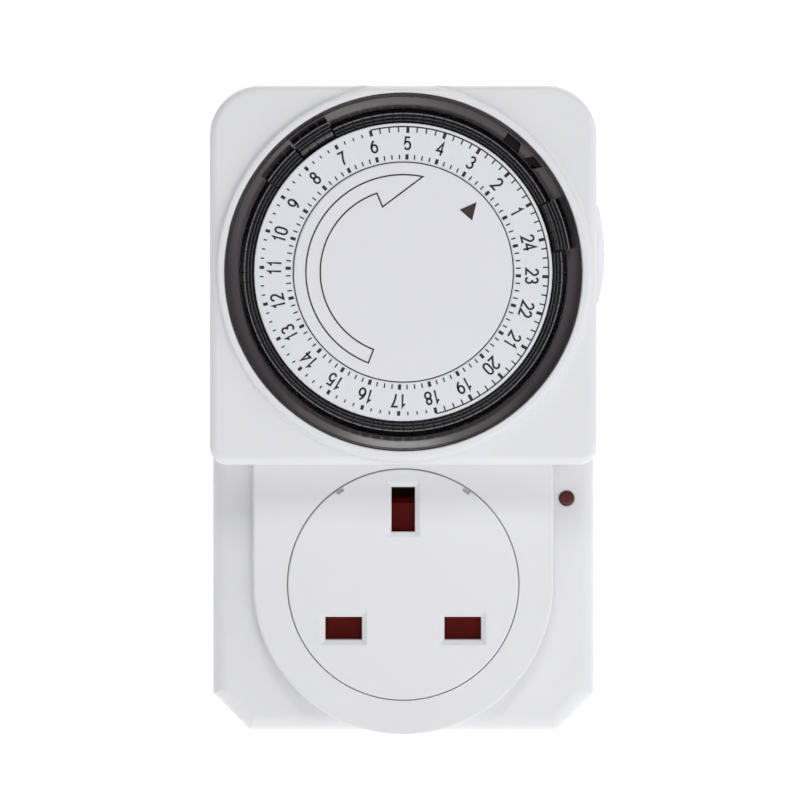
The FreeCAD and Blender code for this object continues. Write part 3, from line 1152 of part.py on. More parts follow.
def main():
    os.makedirs("parts", exist_ok=True)
    save("front_housing", front_housing())
    save("rear_housing", rear_housing())
    save("housing_screws", *[case_screw(x, z) for x, z in screw_spots()])
    save("dial_bezel", dial_bezel())
    save("socket_face", socket_face())
    save("socket_shutter", socket_shutter())
    save("shutter_spring", shutter_spring())
    save("live_pin", line_pin(LINE_X, LIVE_TAIL_Y))
    save("neutral_pin", line_pin(-LINE_X, LINE_CONTACT_BACK_Y + CONTACT_END_GAP))
    save("earth_pin", tipped_pin(0, EARTH_Z, EARTH_PIN_WIDTH, EARTH_PIN_HEIGHT,
                                 EARTH_CONTACT_BACK_Y + CONTACT_END_GAP, EARTH_PIN_LENGTH))
    save("pin_sleeves", pin_sleeve(-LINE_X), pin_sleeve(LINE_X))
    save("live_contact", line_contact(LINE_X))
    save("neutral_contact", line_contact(-LINE_X))
    save("earth_contact", earth_contact())
    save("contact_carrier", contact_carrier())
    save("neon_lens", neon_lens())
    save("neon_lamp", neon_lamp())
    save("dial_wheel", dial_wheel())
    save("dial_ring", dial_ring())
    save("centre_disc", centre_disc())
    save("mechanism_plate", mechanism_plate())
    save("motor_can", motor_can())
    save("motor_lid", motor_lid())
    save("motor_bobbin", motor_bobbin())
    save("motor_winding", motor_winding())
    save("motor_rotor", motor_rotor())
    for index in range(1, 5):
        save("gear_" + str(index), train_gear(index))
    save("clutch_wheel", clutch_wheel())
    save("drive_pinion", drive_pinion())
    save("trip_lever", trip_lever())
    save("override_slider", override_slider())
    save("switch_case", switch_case())
    save("switch_plunger", switch_plunger())
    for hour, quarters, out in tappet_groups():
        save("tappets_hour_" + str(hour).zfill(2), *tappet_group(quarters, out))


main()
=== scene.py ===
import math

import bmesh
import bpy
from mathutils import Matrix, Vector


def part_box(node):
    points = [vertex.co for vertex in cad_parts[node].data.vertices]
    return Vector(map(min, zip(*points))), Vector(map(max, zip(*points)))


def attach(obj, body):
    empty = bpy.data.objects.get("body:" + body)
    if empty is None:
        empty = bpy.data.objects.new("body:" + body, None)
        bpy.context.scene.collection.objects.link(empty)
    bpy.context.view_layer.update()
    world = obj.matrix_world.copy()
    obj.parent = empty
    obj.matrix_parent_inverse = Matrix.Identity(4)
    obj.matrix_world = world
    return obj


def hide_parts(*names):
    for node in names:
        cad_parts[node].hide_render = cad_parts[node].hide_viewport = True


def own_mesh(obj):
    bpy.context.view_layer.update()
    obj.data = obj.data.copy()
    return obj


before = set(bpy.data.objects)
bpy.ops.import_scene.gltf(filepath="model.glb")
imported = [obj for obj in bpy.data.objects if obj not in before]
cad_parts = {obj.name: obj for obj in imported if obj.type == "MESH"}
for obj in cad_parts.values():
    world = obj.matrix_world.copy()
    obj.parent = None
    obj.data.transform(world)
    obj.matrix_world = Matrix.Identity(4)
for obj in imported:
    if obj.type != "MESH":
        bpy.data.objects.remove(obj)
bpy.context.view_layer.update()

MM = 0.001


# ---------------------------------------------------------------------------
# Case: a front shell with the hood, dial lip and socket panel, and a rear
# shell with the plug platform. Both are injection-moulded white ABS with a
# fine satin grain, about 2.2 mm thick, and meet in a tongue and groove.
# ---------------------------------------------------------------------------
def linear(code):
    """An sRGB hex colour as linear RGBA."""
    channels = [int(code[i:i + 2], 16) / 255 for i in (1, 3, 5)]
    return tuple(c / 12.92 if c <= 0.04045 else ((c + 0.055) / 1.055) ** 2.4 for c in channels) + (1.0,)


def add_node(tree, kind, settings=None, links=None):
    """Adds one node, sets its sockets (by name or number) or properties, and links its inputs."""
    node = tree.nodes.new(kind)
    for key, value in (settings or {}).items():
        if isinstance(key, str) and hasattr(node, key):
            setattr(node, key, value)
        else:
            node.inputs[key].default_value = value
    for key, source in (links or {}).items():
        tree.links.new(source, node.inputs[key])
    return node


def new_material(name):
    """An empty node material, with its tree, its output and the place on the piece in metres."""
    material = bpy.data.materials.new(name)
    material.use_nodes = True
    tree = material.node_tree
    tree.nodes.clear()
    output = add_node(tree, "ShaderNodeOutputMaterial")
    place = add_node(tree, "ShaderNodeTexCoord").outputs["Object"]
    return material, tree, output, place


def moulded_plastic(name, colour, shade, roughness, grain=0.35, depth=0.004, edge=0.1, specular=0.5):
    """Moulded plastic: two close tones drift over it, and the tool's grain breaks up its gloss.

    grain is the grain's size and depth its height, both in millimetres; edge is the rounding of its edges."""
    material, tree, output, place = new_material(name)
    drift = add_node(tree, "ShaderNodeTexNoise", {"Scale": 1 / (18 * MM), "Detail": 2.0}, {"Vector": place})
    tone = add_node(tree, "ShaderNodeMix", {"data_type": "RGBA", 6: linear(colour), 7: linear(shade)},
                    {0: drift.outputs["Fac"]})
    grit = add_node(tree, "ShaderNodeTexNoise", {"Scale": 1 / (grain * MM), "Detail": 3.0}, {"Vector": place})
    gloss = add_node(tree, "ShaderNodeMapRange", {"To Min": roughness - 0.06, "To Max": roughness + 0.06},
                     {"Value": grit.outputs["Fac"]})
    rounded = add_node(tree, "ShaderNodeBevel", {"samples": 4, "Radius": edge * MM})
    bump = add_node(tree, "ShaderNodeBump", {"Strength": 0.5, "Distance": depth * MM},
                    {"Height": grit.outputs["Fac"], "Normal": rounded.outputs["Normal"]})
    shader = add_node(tree, "ShaderNodeBsdfPrincipled", {"IOR": 1.54, "Specular IOR Level": specular},
                      {"Base Color": tone.outputs[2], "Roughness": gloss.outputs["Result"],
                       "Normal": bump.outputs["Normal"]})
    tree.links.new(shader.outputs["BSDF"], output.inputs["Surface"])
    return material


def finish_node(material, *nodes):
    """Gives carried-over CAD nodes their material."""
    for node in nodes:
        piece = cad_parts[node]
        if not piece.material_slots:
            piece.data.materials.append(material)
        for slot in piece.material_slots:
            slot.material = material


white_abs = moulded_plastic("satin moulded white ABS", "#e2e2e4", "#dedee1", 0.42, depth=0.006, edge=0.25)
finish_node(white_abs, "front_housing", "rear_housing")


# ---------------------------------------------------------------------------
# Four case screws: pan heads, zinc-plated steel, driven in from the rear.
# Plating leaves a bluish metal with a slightly cloudy gloss.
# ---------------------------------------------------------------------------
def plain_metal(name, colour, shade, roughness, grain, stretch=(1, 1, 1)):
    """Bare or plated metal whose gloss varies with its grain, which is in millimetres.

    stretch draws the grain out, as drawing and brushing do."""
    material, tree, output, place = new_material(name)
    run = add_node(tree, "ShaderNodeMapping", {"Scale": stretch}, {"Vector": place})
    grit = add_node(tree, "ShaderNodeTexNoise", {"Scale": 1 / (grain * MM), "Detail": 4.0},
                    {"Vector": run.outputs["Vector"]})
    tone = add_node(tree, "ShaderNodeMix", {"data_type": "RGBA", 6: linear(colour), 7: linear(shade)},
                    {0: grit.outputs["Fac"]})
    gloss = add_node(tree, "ShaderNodeMapRange", {"To Min": roughness - 0.08, "To Max": roughness + 0.1},
                     {"Value": grit.outputs["Fac"]})
    bump = add_node(tree, "ShaderNodeBump", {"Strength": 0.4, "Distance": 0.004 * MM},
                    {"Height": grit.outputs["Fac"]})
    shader = add_node(tree, "ShaderNodeBsdfPrincipled", {"Metallic": 1.0},
                      {"Base Color": tone.outputs[2], "Roughness": gloss.outputs["Result"],
                       "Normal": bump.outputs["Normal"]})
    tree.links.new(shader.outputs["BSDF"], output.inputs["Surface"])
    return material


zinc_steel = plain_metal("zinc-plated steel", "#c6cad0", "#a9aeb6", 0.32, 0.6)
finish_node(zinc_steel, "housing_screws")

# ---------------------------------------------------------------------------
# Socket face: a round insert of white thermoset, pressed in moulds, with
# bevelled slots. It is a little glossier and cooler than the case.
# ---------------------------------------------------------------------------
white_urea = moulded_plastic("pressed white urea resin", "#e1e1e4", "#dedee2", 0.36, grain=0.25, edge=0.25)
finish_node(white_urea, "socket_face")

# ---------------------------------------------------------------------------
# Shutter behind the slots: dark red polypropylene with little gloss, held up by
# a small coil spring of drawn steel wire.
# ---------------------------------------------------------------------------
red_pp = moulded_plastic("moulded dark red polypropylene", "#6c0d06", "#5a0804", 0.5, grain=0.3, specular=0.1)
finish_node(red_pp, "socket_shutter")
spring_wire = plain_metal("drawn spring steel", "#9da0a4", "#7d8084", 0.28, 0.3)


def new_piece(name, material, body):
    """An empty mesh object that rides on a body, and the bmesh to fill it with."""
    piece = bpy.data.objects.new(name, bpy.data.meshes.new(name))
    bpy.context.scene.collection.objects.link(piece)
    piece.data.materials.append(material)
    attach(piece, body)
    return piece, bmesh.new()


def close_piece(piece, mesh, smooth=None):
    """Writes the bmesh into the piece; edges flatter than smooth degrees are shaded round."""
    bmesh.ops.recalc_face_normals(mesh, faces=mesh.faces)
    mesh.to_mesh(piece.data)
    mesh.free()
    if smooth is not None:
        piece.data.shade_smooth()
        piece.data.set_sharp_from_angle(angle=math.radians(smooth))


spring_low, spring_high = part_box("shutter_spring")
WIRE_R = 0.2 * MM
COIL_R = (spring_high[0] - spring_low[0]) / 2 - WIRE_R
COIL_Y = (spring_low[1] + spring_high[1]) / 2
COIL_TURNS = 4
RINGS_PER_TURN = 24
WIRE_SIDES = 10
spring_length = spring_high[2] - spring_low[2]
piece, mesh = new_piece("coiled_spring", spring_wire, "root")
ring_count = COIL_TURNS * RINGS_PER_TURN
rings = []
for step in range(ring_count + 1):
    turn = 2 * math.pi * step / RINGS_PER_TURN
    z = spring_low[2] + WIRE_R + (spring_length - 2 * WIRE_R) * step / ring_count
    ring = []
    for side in range(WIRE_SIDES):
        around = 2 * math.pi * side / WIRE_SIDES
        reach = COIL_R + WIRE_R * math.cos(around)
        ring.append(mesh.verts.new((reach * math.cos(turn), COIL_Y + reach * math.sin(turn),
                                    z + WIRE_R * math.sin(around))))
    rings.append(ring)
for here, there in zip(rings, rings[1:]):
    for i in range(WIRE_SIDES):
        j = (i + 1) % WIRE_SIDES
        mesh.faces.new((here[i], here[j], there[j], there[i]))
mesh.faces.new(rings[0][::-1])
mesh.faces.new(rings[-1])
close_piece(piece, mesh, 50)
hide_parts("shutter_spring")
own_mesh(piece)

# ---------------------------------------------------------------------------
# Indicator: a round red polycarbonate lens with a glass neon lamp behind it.
# The lens is deeply tinted and passes a little light, so it looks almost maroon.
# ---------------------------------------------------------------------------
def clear_body(name, colour, roughness, transmission):
    """A clear or tinted body, with a faint ripple from moulding or drawing."""
    material, tree, output, place = new_material(name)
    ripple = add_node(tree, "ShaderNodeTexNoise", {"Scale": 1 / (1.2 * MM), "Detail": 1.0}, {"Vector": place})
    bump = add_node(tree, "ShaderNodeBump", {"Strength": 0.3, "Distance": 0.02 * MM},
                    {"Height": ripple.outputs["Fac"]})
    shader = add_node(tree, "ShaderNodeBsdfPrincipled",
                      {"Base Color": linear(colour), "Roughness": roughness, "IOR": 1.5,
                       "Transmission Weight": transmission},
                      {"Normal": bump.outputs["Normal"]})
    tree.links.new(shader.outputs["BSDF"], output.inputs["Surface"])
    return material


red_lens = clear_body("moulded red polycarbonate", "#5e0c0b", 0.2, 0.3)
lamp_glass = clear_body("drawn lamp glass", "#f3efe6", 0.03, 0.95)
finish_node(red_lens, "neon_lens")
finish_node(lamp_glass, "neon_lamp")

# ---------------------------------------------------------------------------
# Plug and contacts: drawn brass pins and stamped brass clips, black PVC
# sleeves on the line pins, and a grey glass-filled carrier. The clips' colour is
# darkened to olive-brown as painted shade for the dark slot they sit behind.
# ---------------------------------------------------------------------------
drawn_brass = plain_metal("drawn brass", "#d8b878", "#bf9a58", 0.26, 0.2, (1, 0.08, 1))
# Painted shade: the clips' colour is darkened for the shaded recess behind the earth slot.
shaded_stamped_brass = plain_metal("stamped brass darkened with painted shade", "#705632", "#5a4428", 0.4, 0.4)
black_pvc = moulded_plastic("moulded black PVC", "#131315", "#1a1a1c", 0.5, grain=0.3)
grey_nylon = moulded_plastic("glass-filled grey nylon", "#6d7073", "#5f6265", 0.55, grain=0.2)
finish_node(drawn_brass, "live_pin", "neutral_pin", "earth_pin")
finish_node(shaded_stamped_brass, "live_contact", "neutral_contact", "earth_contact")
finish_node(black_pvc, "pin_sleeves")
finish_node(grey_nylon, "contact_carrier")

# ---------------------------------------------------------------------------
# Drive: a nylon plate carries a small synchronous motor in a pressed steel
# can and a train of natural acetal gears.
# ---------------------------------------------------------------------------
natural_nylon = moulded_plastic("moulded natural nylon", "#dcd8c8", "#d0cbb8", 0.4, grain=0.3)
natural_acetal = moulded_plastic("moulded natural acetal", "#ecebe4", "#e2e0d6", 0.3, grain=0.3)
pressed_steel = plain_metal("pressed tinned steel", "#b9bbbd", "#a1a3a6", 0.34, 0.5)
enamelled_copper = plain_metal("enamelled copper wire", "#b8642c", "#8f4a1e", 0.3, 0.1, (1, 12, 1))
sintered_ferrite = moulded_plastic("sintered ferrite", "#2b2b2d", "#38383a", 0.6, grain=0.15, depth=0.01)
finish_node(natural_nylon, "mechanism_plate", "motor_bobbin")
finish_node(natural_acetal, "gear_1", "gear_2", "gear_3", "gear_4", "clutch_wheel", "drive_pinion")
finish_node(pressed_steel, "motor_can", "motor_lid")
finish_node(enamelled_copper, "motor_winding")
finish_node(sintered_ferrite, "motor_rotor")

# ---------------------------------------------------------------------------
# Switch gear: a black phenolic switch case with its button, and a black
# acetal trip lever that the tappets and the side knob move.
# ---------------------------------------------------------------------------
black_phenolic = moulded_plastic("moulded black phenolic", "#17161a", "#201f22", 0.4, grain=0.25)
black_acetal = moulded_plastic("moulded black acetal", "#0c0b0d", "#131214", 0.24, grain=0.5, depth=0.002)
finish_node(black_phenolic, "switch_case")
finish_node(black_acetal, "switch_plunger", "trip_lever", "dial_wheel")

# ---------------------------------------------------------------------------
# Tappets: 96 black acetal sliders, one for each quarter of an hour, whose ribbed
# heads slide out from under the number ring. Their polished faces look almost
# black; the paler grey along the end block and on the rib tops is painted highlight.
# ---------------------------------------------------------------------------
ring_low, ring_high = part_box("dial_ring")
DIAL_Z = (ring_low[2] + ring_high[2]) / 2
RING_R = (ring_high[0] - ring_low[0]) / 2
RING_FACE_Y = ring_low[1]
RING_BACK_Y = ring_high[1]
HOUR_ANGLE = 360 / 24
REST_ANGLE = 1.87
HOUR_AT_TOP = 5
TAPPETS_OUT = {7: 1.6 * MM, 8: 0.75 * MM, 24: 1.6 * MM}
TAPPET_HALF_ANGLE = HOUR_ANGLE / 8 - math.degrees(0.05 * MM / (RING_R + 1.3 * MM))
HEAD_OUTER_R = RING_R + 2.6 * MM
HEAD_INNER_R = RING_R - 2.05 * MM
BLOCK_R = HEAD_OUTER_R - 0.9 * MM
RIB_PITCH = 0.6 * MM
RIB_WIDTH = 0.26 * MM
RIB_TOP_Y = RING_BACK_Y + 0.15 * MM
GROOVE_Y = RIB_TOP_Y + 0.45 * MM
EDGE_FLAT = 0.24 * MM
EDGE_DROP = 0.03 * MM
RIB_COUNT = 3
RIB_SLOPE = 0.08 * MM
BLOCK_SLOPE = 0.05 * MM
BLOCK_FALL = 0.75 * MM
FOOT_THICK = 1.15 * MM
TAPPET_STEPS = 4
# Material slots: polished acetal, then paler acetal as painted highlight on the end block's edge and on the
# rib tops.
POLISHED, EDGE_HIGHLIGHT, RIB_HIGHLIGHT = range(3)


def dial_point(radius, angle):
    """(x, z) on the dial, at an angle in degrees clockwise from its top."""
    turn = math.radians(angle)
    return radius * math.sin(turn), DIAL_Z + radius * math.cos(turn)


def hour_angle(hour):
    """Where an hour stands; the hours run anticlockwise, because the dial turns clockwise."""
    return REST_ANGLE - HOUR_ANGLE * (hour - HOUR_AT_TOP)


def tappet_section():
    """Outline of a slider as (radius, y, finish): tongue, wall, finger ribs, end block and foot.

    finish is that of the surface which starts at the point; the ribs' tops and the end block's inner edge
    take a paler grey as painted highlight."""
    tongue_front = RING_BACK_Y + 1.6 * MM
    tongue_back = RING_BACK_Y + 3.1 * MM
    tongue_r = HEAD_INNER_R - 3.05 * MM
    wall_y = RING_BACK_Y + 1.2 * MM
    under = RING_BACK_Y + 1.9 * MM
    foot_r = HEAD_OUTER_R - 1.7 * MM
    foot_end = RING_BACK_Y + 6.2 * MM
    outline = [(tongue_r, tongue_back, POLISHED), (tongue_r, tongue_front, POLISHED),
               (HEAD_INNER_R, tongue_front, POLISHED), (HEAD_INNER_R, wall_y, POLISHED)]
    for rib in range(RIB_COUNT):
        middle = BLOCK_R - 0.55 * MM - RIB_PITCH * (RIB_COUNT - 1 - rib)
        near = middle - RIB_WIDTH / 2
        far = middle + RIB_WIDTH / 2
        # Each rib's top face takes the painted highlight.
        outline += [(near, RIB_TOP_Y, RIB_HIGHLIGHT), (far, RIB_TOP_Y, POLISHED),
                    (far + RIB_SLOPE, GROOVE_Y, POLISHED)]
        if rib < RIB_COUNT - 1:
            outline.append((near + RIB_PITCH - RIB_SLOPE, GROOVE_Y, POLISHED))
    # The end block's inner edge face takes the painted highlight.
    outline += [(BLOCK_R - BLOCK_SLOPE, GROOVE_Y, POLISHED), (BLOCK_R, RIB_TOP_Y + EDGE_DROP, EDGE_HIGHLIGHT),
                (BLOCK_R + EDGE_FLAT, RIB_TOP_Y + EDGE_DROP, POLISHED),
                (HEAD_OUTER_R, RIB_TOP_Y + BLOCK_FALL, POLISHED), (HEAD_OUTER_R, under, POLISHED),
                (foot_r, under, POLISHED), (foot_r, foot_end, POLISHED),
                (foot_r - FOOT_THICK, foot_end, POLISHED), (foot_r - FOOT_THICK, tongue_back, POLISHED)]
    return outline


def add_tappet(mesh, angle, shift):
    """One slider, swept over its small arc and moved by the group's own travel."""
    section = tappet_section()
    loops = []
    for step in range(TAPPET_STEPS + 1):
        turn = angle - TAPPET_HALF_ANGLE + 2 * TAPPET_HALF_ANGLE * step / TAPPET_STEPS
        loop = []
        for radius, y, _ in section:
            x, z = dial_point(radius, turn)
            loop.append(mesh.verts.new((x + shift[0], y, z + shift[1])))
        loops.append(loop)
    count = len(section)
    for here, there in zip(loops, loops[1:]):
        for i in range(count):
            j = (i + 1) % count
            face = mesh.faces.new((here[i], here[j], there[j], there[i]))
            face.material_index = section[i][2]
    mesh.faces.new(loops[0][::-1])
    mesh.faces.new(loops[-1])


tappet_acetal = moulded_plastic("polished moulded black acetal", "#0b0a0c", "#131214", 0.16, grain=0.6,
                                depth=0.001, edge=0.03)
# Paler greys for the painted highlights on the end block's edge and on the rib tops.
edge_highlight_acetal = moulded_plastic("black acetal painted with an edge highlight", "#737176", "#6a686c", 0.3, grain=0.4,
                                   depth=0.001, edge=0.03)
rib_highlight_acetal = moulded_plastic("black acetal painted with rib highlights", "#424044", "#3a383c", 0.35, grain=0.4,
                                depth=0.001, edge=0.03)
for hour in range(1, 25):
    first = 4 * hour - (1 if hour == 24 else 0)
    count = {23: 3, 24: 5}.get(hour, 4)
    quarters = [(first + step) / 4 for step in range(count)]
    middle = hour_angle((quarters[0] + quarters[-1]) / 2)
    out_x, out_z = dial_point(TAPPETS_OUT.get(hour, 0), middle)
    node = "tappets_hour_%02d" % hour
    piece, mesh = new_piece("tappet_heads_%02d" % hour, tappet_acetal, "tappets_%02d" % hour)
    for finish in (edge_highlight_acetal, rib_highlight_acetal):
        piece.data.materials.append(finish)
    for quarter in quarters:
        add_tappet(mesh, hour_angle(quarter), (out_x, out_z - DIAL_Z))
    close_piece(piece, mesh, 30)
    bevel = piece.modifiers.new("rounded edges", "BEVEL")
    bevel.width = 0.02 * MM
    bevel.segments = 1
    bevel.limit_method = "ANGLE"
    bevel.angle_limit = math.radians(35)
    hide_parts(node)

# ---------------------------------------------------------------------------
# Number ring: white moulded ring pressed onto the dial wheel, 55 mm across,
# with pad-printed black numerals, ticks and a thin brown line. Ink stands
# 0.02 mm proud and is slightly matt.
# ---------------------------------------------------------------------------
INK = 0.02 * MM
SINK = 0.05 * MM
ring_white = moulded_plastic("moulded white ring plastic", "#e0e2e7", "#dddfe5", 0.4, grain=0.3, edge=0.25)
black_ink = moulded_plastic("black pad-printing ink", "#0f0e10", "#171517", 0.55, grain=0.1, edge=0.01)
brown_ink = moulded_plastic("dark brown pad-printing ink", "#2c1d1a", "#33231f", 0.5, grain=0.1, edge=0.01)
finish_node(ring_white, "dial_ring")


def arc(cx, cy, rx, ry, start, end, steps=16):
    """Points on an ellipse, from one angle to another."""
    points = []
    for step in range(steps + 1):
        turn = math.radians(start + (end - start) * step / steps)
        points.append((cx + rx * math.cos(turn), cy + ry * math.sin(turn)))
    return points


def ink_stroke(mesh, points, width, face_y):
    """A printed line along (x, z) points with mitred corners; equal ends make it a closed loop."""
    closed = math.dist(points[0], points[-1]) < 1e-9
    spots = points[:-1] if closed else points
    count = len(spots)
    rows = []
    for i, (x, z) in enumerate(spots):
        before = spots[i - 1] if closed or i > 0 else None
        after = spots[(i + 1) % count] if closed or i < count - 1 else None
        arrive = Vector((x - before[0], z - before[1])).normalized() if before else None
        leave = Vector((after[0] - x, after[1] - z)).normalized() if after else None
        arrive = arrive or leave
        leave = leave or arrive
        along = (arrive + leave).normalized()
        side = Vector((-along.y, along.x))
        reach = width / 2 / max(side.dot(Vector((-leave.y, leave.x))), 0.35)
        row = []
        for sign, y in ((1, face_y - INK), (-1, face_y - INK), (-1, face_y + SINK), (1, face_y + SINK)):
            row.append(mesh.verts.new((x + sign * side.x * reach, y, z + sign * side.y * reach)))
        rows.append(row)
    pairs = list(zip(rows, rows[1:]))
    if closed:
        pairs.append((rows[-1], rows[0]))
    for here, there in pairs:
        for i in range(4):
            j = (i + 1) % 4
            mesh.faces.new((here[i], here[j], there[j], there[i]))
    if not closed:
        mesh.faces.new(rows[0])
        mesh.faces.new(rows[-1][::-1])


# Figures are drawn as strokes on a body 1.9 wide and 2.5 high, in millimetres, from their foot up.
LOW = 0.14
TOP = 2.36
WIDE = 0.55
FIGURES = {
    "0": [arc(0, TOP - 0.68, WIDE - 0.03, 0.68, 180, 0) + arc(0, LOW + 0.68, WIDE - 0.03, 0.68, 0, -180)
          + [(-(WIDE - 0.03), TOP - 0.68)]],
    "1": [[(-0.36, 1.86), (-0.05, 2.02), (0.12, TOP), (0.12, LOW - 0.12)]],
    "2": [arc(0, TOP - 0.62, WIDE - 0.02, 0.62, 172, -38) + [(-WIDE, LOW), (WIDE + 0.04, LOW)]],
    "3": [arc(-0.02, TOP - 0.53, 0.46, 0.53, 158, -90), arc(-0.02, LOW + 0.59, 0.54, 0.59, 90, -155)],
    "4": [[(0.26, LOW - 0.12), (0.26, TOP), (-WIDE - 0.02, 0.78), (0.62, 0.78)]],
    "5": [[(0.46, TOP), (-0.34, TOP), (-0.46, 1.28)] + arc(0.0, LOW + 0.72, 0.54, 0.72, 128, -150)],
    "6": [arc(0, LOW + 0.7, 0.53, 0.7, 180, -180), arc(0.62, LOW + 0.7, 1.15, 1.56, 180, 112)],
    "7": [[(-0.54, TOP), (0.52, TOP), (0.16, 1.55), (-0.06, 0.85), (-0.18, LOW - 0.12)]],
    "8": [arc(0, TOP - 0.53, 0.44, 0.53, 90, 450), arc(0, LOW + 0.6, 0.53, 0.6, 90, 450)],
    "9": [arc(0, TOP - 0.7, 0.53, 0.7, 0, 360), arc(-0.62, TOP - 0.7, 1.15, 1.56, 0, -68)],
}
FIGURE_STROKE = 0.37 * MM
FIGURE_SPACE = 1.52
FIGURE_R = 23.75 * MM
piece, mesh = new_piece("printed_numerals", black_ink, "dial")
for hour in range(1, 25):
    text = str(hour)
    turn = math.radians(hour_angle(hour))
    centre = dial_point(FIGURE_R, hour_angle(hour))
    for index, digit in enumerate(text):
        shift = (index - (len(text) - 1) / 2) * FIGURE_SPACE
        for stroke in FIGURES[digit]:
            line = []
            for u, v in stroke:
                across = (u + shift) * MM
                up = (v - 1.25) * MM
                line.append((centre[0] + across * math.cos(turn) + up * math.sin(turn),
                             centre[1] - across * math.sin(turn) + up * math.cos(turn)))
            ink_stroke(mesh, line, FIGURE_STROKE, RING_FACE_Y)
close_piece(piece, mesh)

# A tick is its width and its two stretches, each from one radius to another, in millimetres.
HOUR_TICK = (0.58, (20.74, 21.72), (25.66, 26.53))
QUARTER_TICK = (0.25, (20.8, 21.66), (25.8, 26.42))
NIGHT_TICK_END = 26.75
NIGHT_STARTS, NIGHT_ENDS = 18, 6
piece, mesh = new_piece("printed_ticks", black_ink, "dial")
for quarter in range(96):
    hour = quarter / 4
    width, inner, outer = HOUR_TICK if quarter % 4 == 0 else QUARTER_TICK
    if hour <= NIGHT_ENDS or hour >= NIGHT_STARTS:
        outer = (outer[0], NIGHT_TICK_END)
    for low, high in (inner, outer):
        stroke = [dial_point(low * MM, hour_angle(hour)), dial_point(high * MM, hour_angle(hour))]
        ink_stroke(mesh, stroke, width * MM, RING_FACE_Y)
close_piece(piece, mesh)

NIGHT_LINE_R = 26.83 * MM
NIGHT_LINE_WIDTH = 0.26 * MM
NIGHT_STEPS = 120
piece, mesh = new_piece("printed_night_line", brown_ink, "dial")
night = [dial_point(NIGHT_LINE_R, hour_angle(NIGHT_ENDS) + 180 * step / NIGHT_STEPS)
         for step in range(NIGHT_STEPS + 1)]
ink_stroke(mesh, night, NIGHT_LINE_WIDTH, RING_FACE_Y)
close_piece(piece, mesh)

# ---------------------------------------------------------------------------
# Centre disc: fixed white disc on the dial's post, printed in dark brown with
# the direction of turning and a small triangle that points at the marker.
# ---------------------------------------------------------------------------
disc_white = moulded_plastic("moulded white disc plastic", "#e1e1e6", "#dfdfe5", 0.4, grain=0.3)
finish_node(disc_white, "centre_disc")
DISC_FACE_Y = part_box("centre_disc")[0][1]
ARROW_LINE = 0.28 * MM
ARROW_OUTER_R = 17.95 * MM
ARROW_INNER_R = 15.3 * MM
ARROW_TAIL = 201
ARROW_TIP = 371.6
ARROW_NECK = 341.5
ARROW_BARB = 342.4
ARROW_BARB_R = 12.6 * MM
OUTER_STEPS = 90
INNER_STEPS = 70
arrow = [dial_point(ARROW_OUTER_R, ARROW_TAIL + (ARROW_TIP - ARROW_TAIL) * step / OUTER_STEPS)
         for step in range(OUTER_STEPS + 1)]
arrow.append(dial_point(ARROW_BARB_R, ARROW_BARB))
arrow += [dial_point(ARROW_INNER_R, ARROW_NECK + (ARROW_TAIL - ARROW_NECK) * step / INNER_STEPS)
          for step in range(INNER_STEPS + 1)]
arrow.append(arrow[0])
piece, mesh = new_piece("printed_arrow", brown_ink, "root")
ink_stroke(mesh, arrow, ARROW_LINE, DISC_FACE_Y)
close_piece(piece, mesh)

piece, mesh = new_piece("printed_triangle", brown_ink, "root")
corners = [dial_point(18.68 * MM, 46.4), dial_point(15.5 * MM, 42.1), dial_point(15.85 * MM, 53.3)]
front = [mesh.verts.new((x, DISC_FACE_Y - INK, z)) for x, z in corners]
back = [mesh.verts.new((x, DISC_FACE_Y + SINK, z)) for x, z in corners]
mesh.faces.new(front)
mesh.faces.new(back[::-1])
for i in range(3):
    j = (i + 1) % 3
    mesh.faces.new((front[i], front[j], back[j], back[i]))
close_piece(piece, mesh)

# ---------------------------------------------------------------------------
# Bezel: polished smoky brown-black acrylic ring inside the lip, dished like a
# funnel, with two windows that leave the time marker between them. Its colour
# turns paler towards the dial: painted light over the shade the tappets cast on its inner edge.
# ---------------------------------------------------------------------------
BEZEL_INNER_R = HEAD_OUTER_R + 0.3 * MM
BEZEL_LIGHT_END_R = 32.2 * MM
smoked_acrylic = moulded_plastic("polished smoked acrylic with painted light", "#453d40", "#40383b", 0.2, grain=0.8,
                                 depth=0.0005, edge=0.15)
tree = smoked_acrylic.node_tree
body = next(node for node in tree.nodes if node.type == "BSDF_PRINCIPLED")
place = add_node(tree, "ShaderNodeTexCoord").outputs["Object"]
offset = add_node(tree, "ShaderNodeVectorMath", {"operation": "SUBTRACT", 1: (0.0, 0.0, DIAL_Z)}, {0: place})
spoke = add_node(tree, "ShaderNodeVectorMath", {"operation": "MULTIPLY", 1: (1.0, 0.0, 1.0)},
                 {0: offset.outputs["Vector"]})
radius = add_node(tree, "ShaderNodeVectorMath", {"operation": "LENGTH"}, {0: spoke.outputs["Vector"]})
# Painted light: the base colour fades to a paler grey towards the bezel's inner edge.
painted_light_fade = add_node(tree, "ShaderNodeMapRange",
                {"From Min": BEZEL_INNER_R, "From Max": BEZEL_LIGHT_END_R, "To Min": 1.0, "To Max": 0.0},
                {"Value": radius.outputs["Value"]})
painted_light_tone = add_node(tree, "ShaderNodeMix", {"data_type": "RGBA", 7: linear("#6c6569")},
                 {0: painted_light_fade.outputs["Result"], 6: body.inputs["Base Color"].links[0].from_socket})
tree.links.new(painted_light_tone.outputs[2], body.inputs["Base Color"])
finish_node(smoked_acrylic, "dial_bezel")

# ---------------------------------------------------------------------------
# Override knob: ribbed white slider on the right-hand side, moulded in one
# piece with its carriage. A brighter, glossier white than the case.
# ---------------------------------------------------------------------------
white_pbt = moulded_plastic("moulded bright white PBT", "#f1f1f3", "#eeeef1", 0.34, grain=0.3)
finish_node(white_pbt, "override_slider")

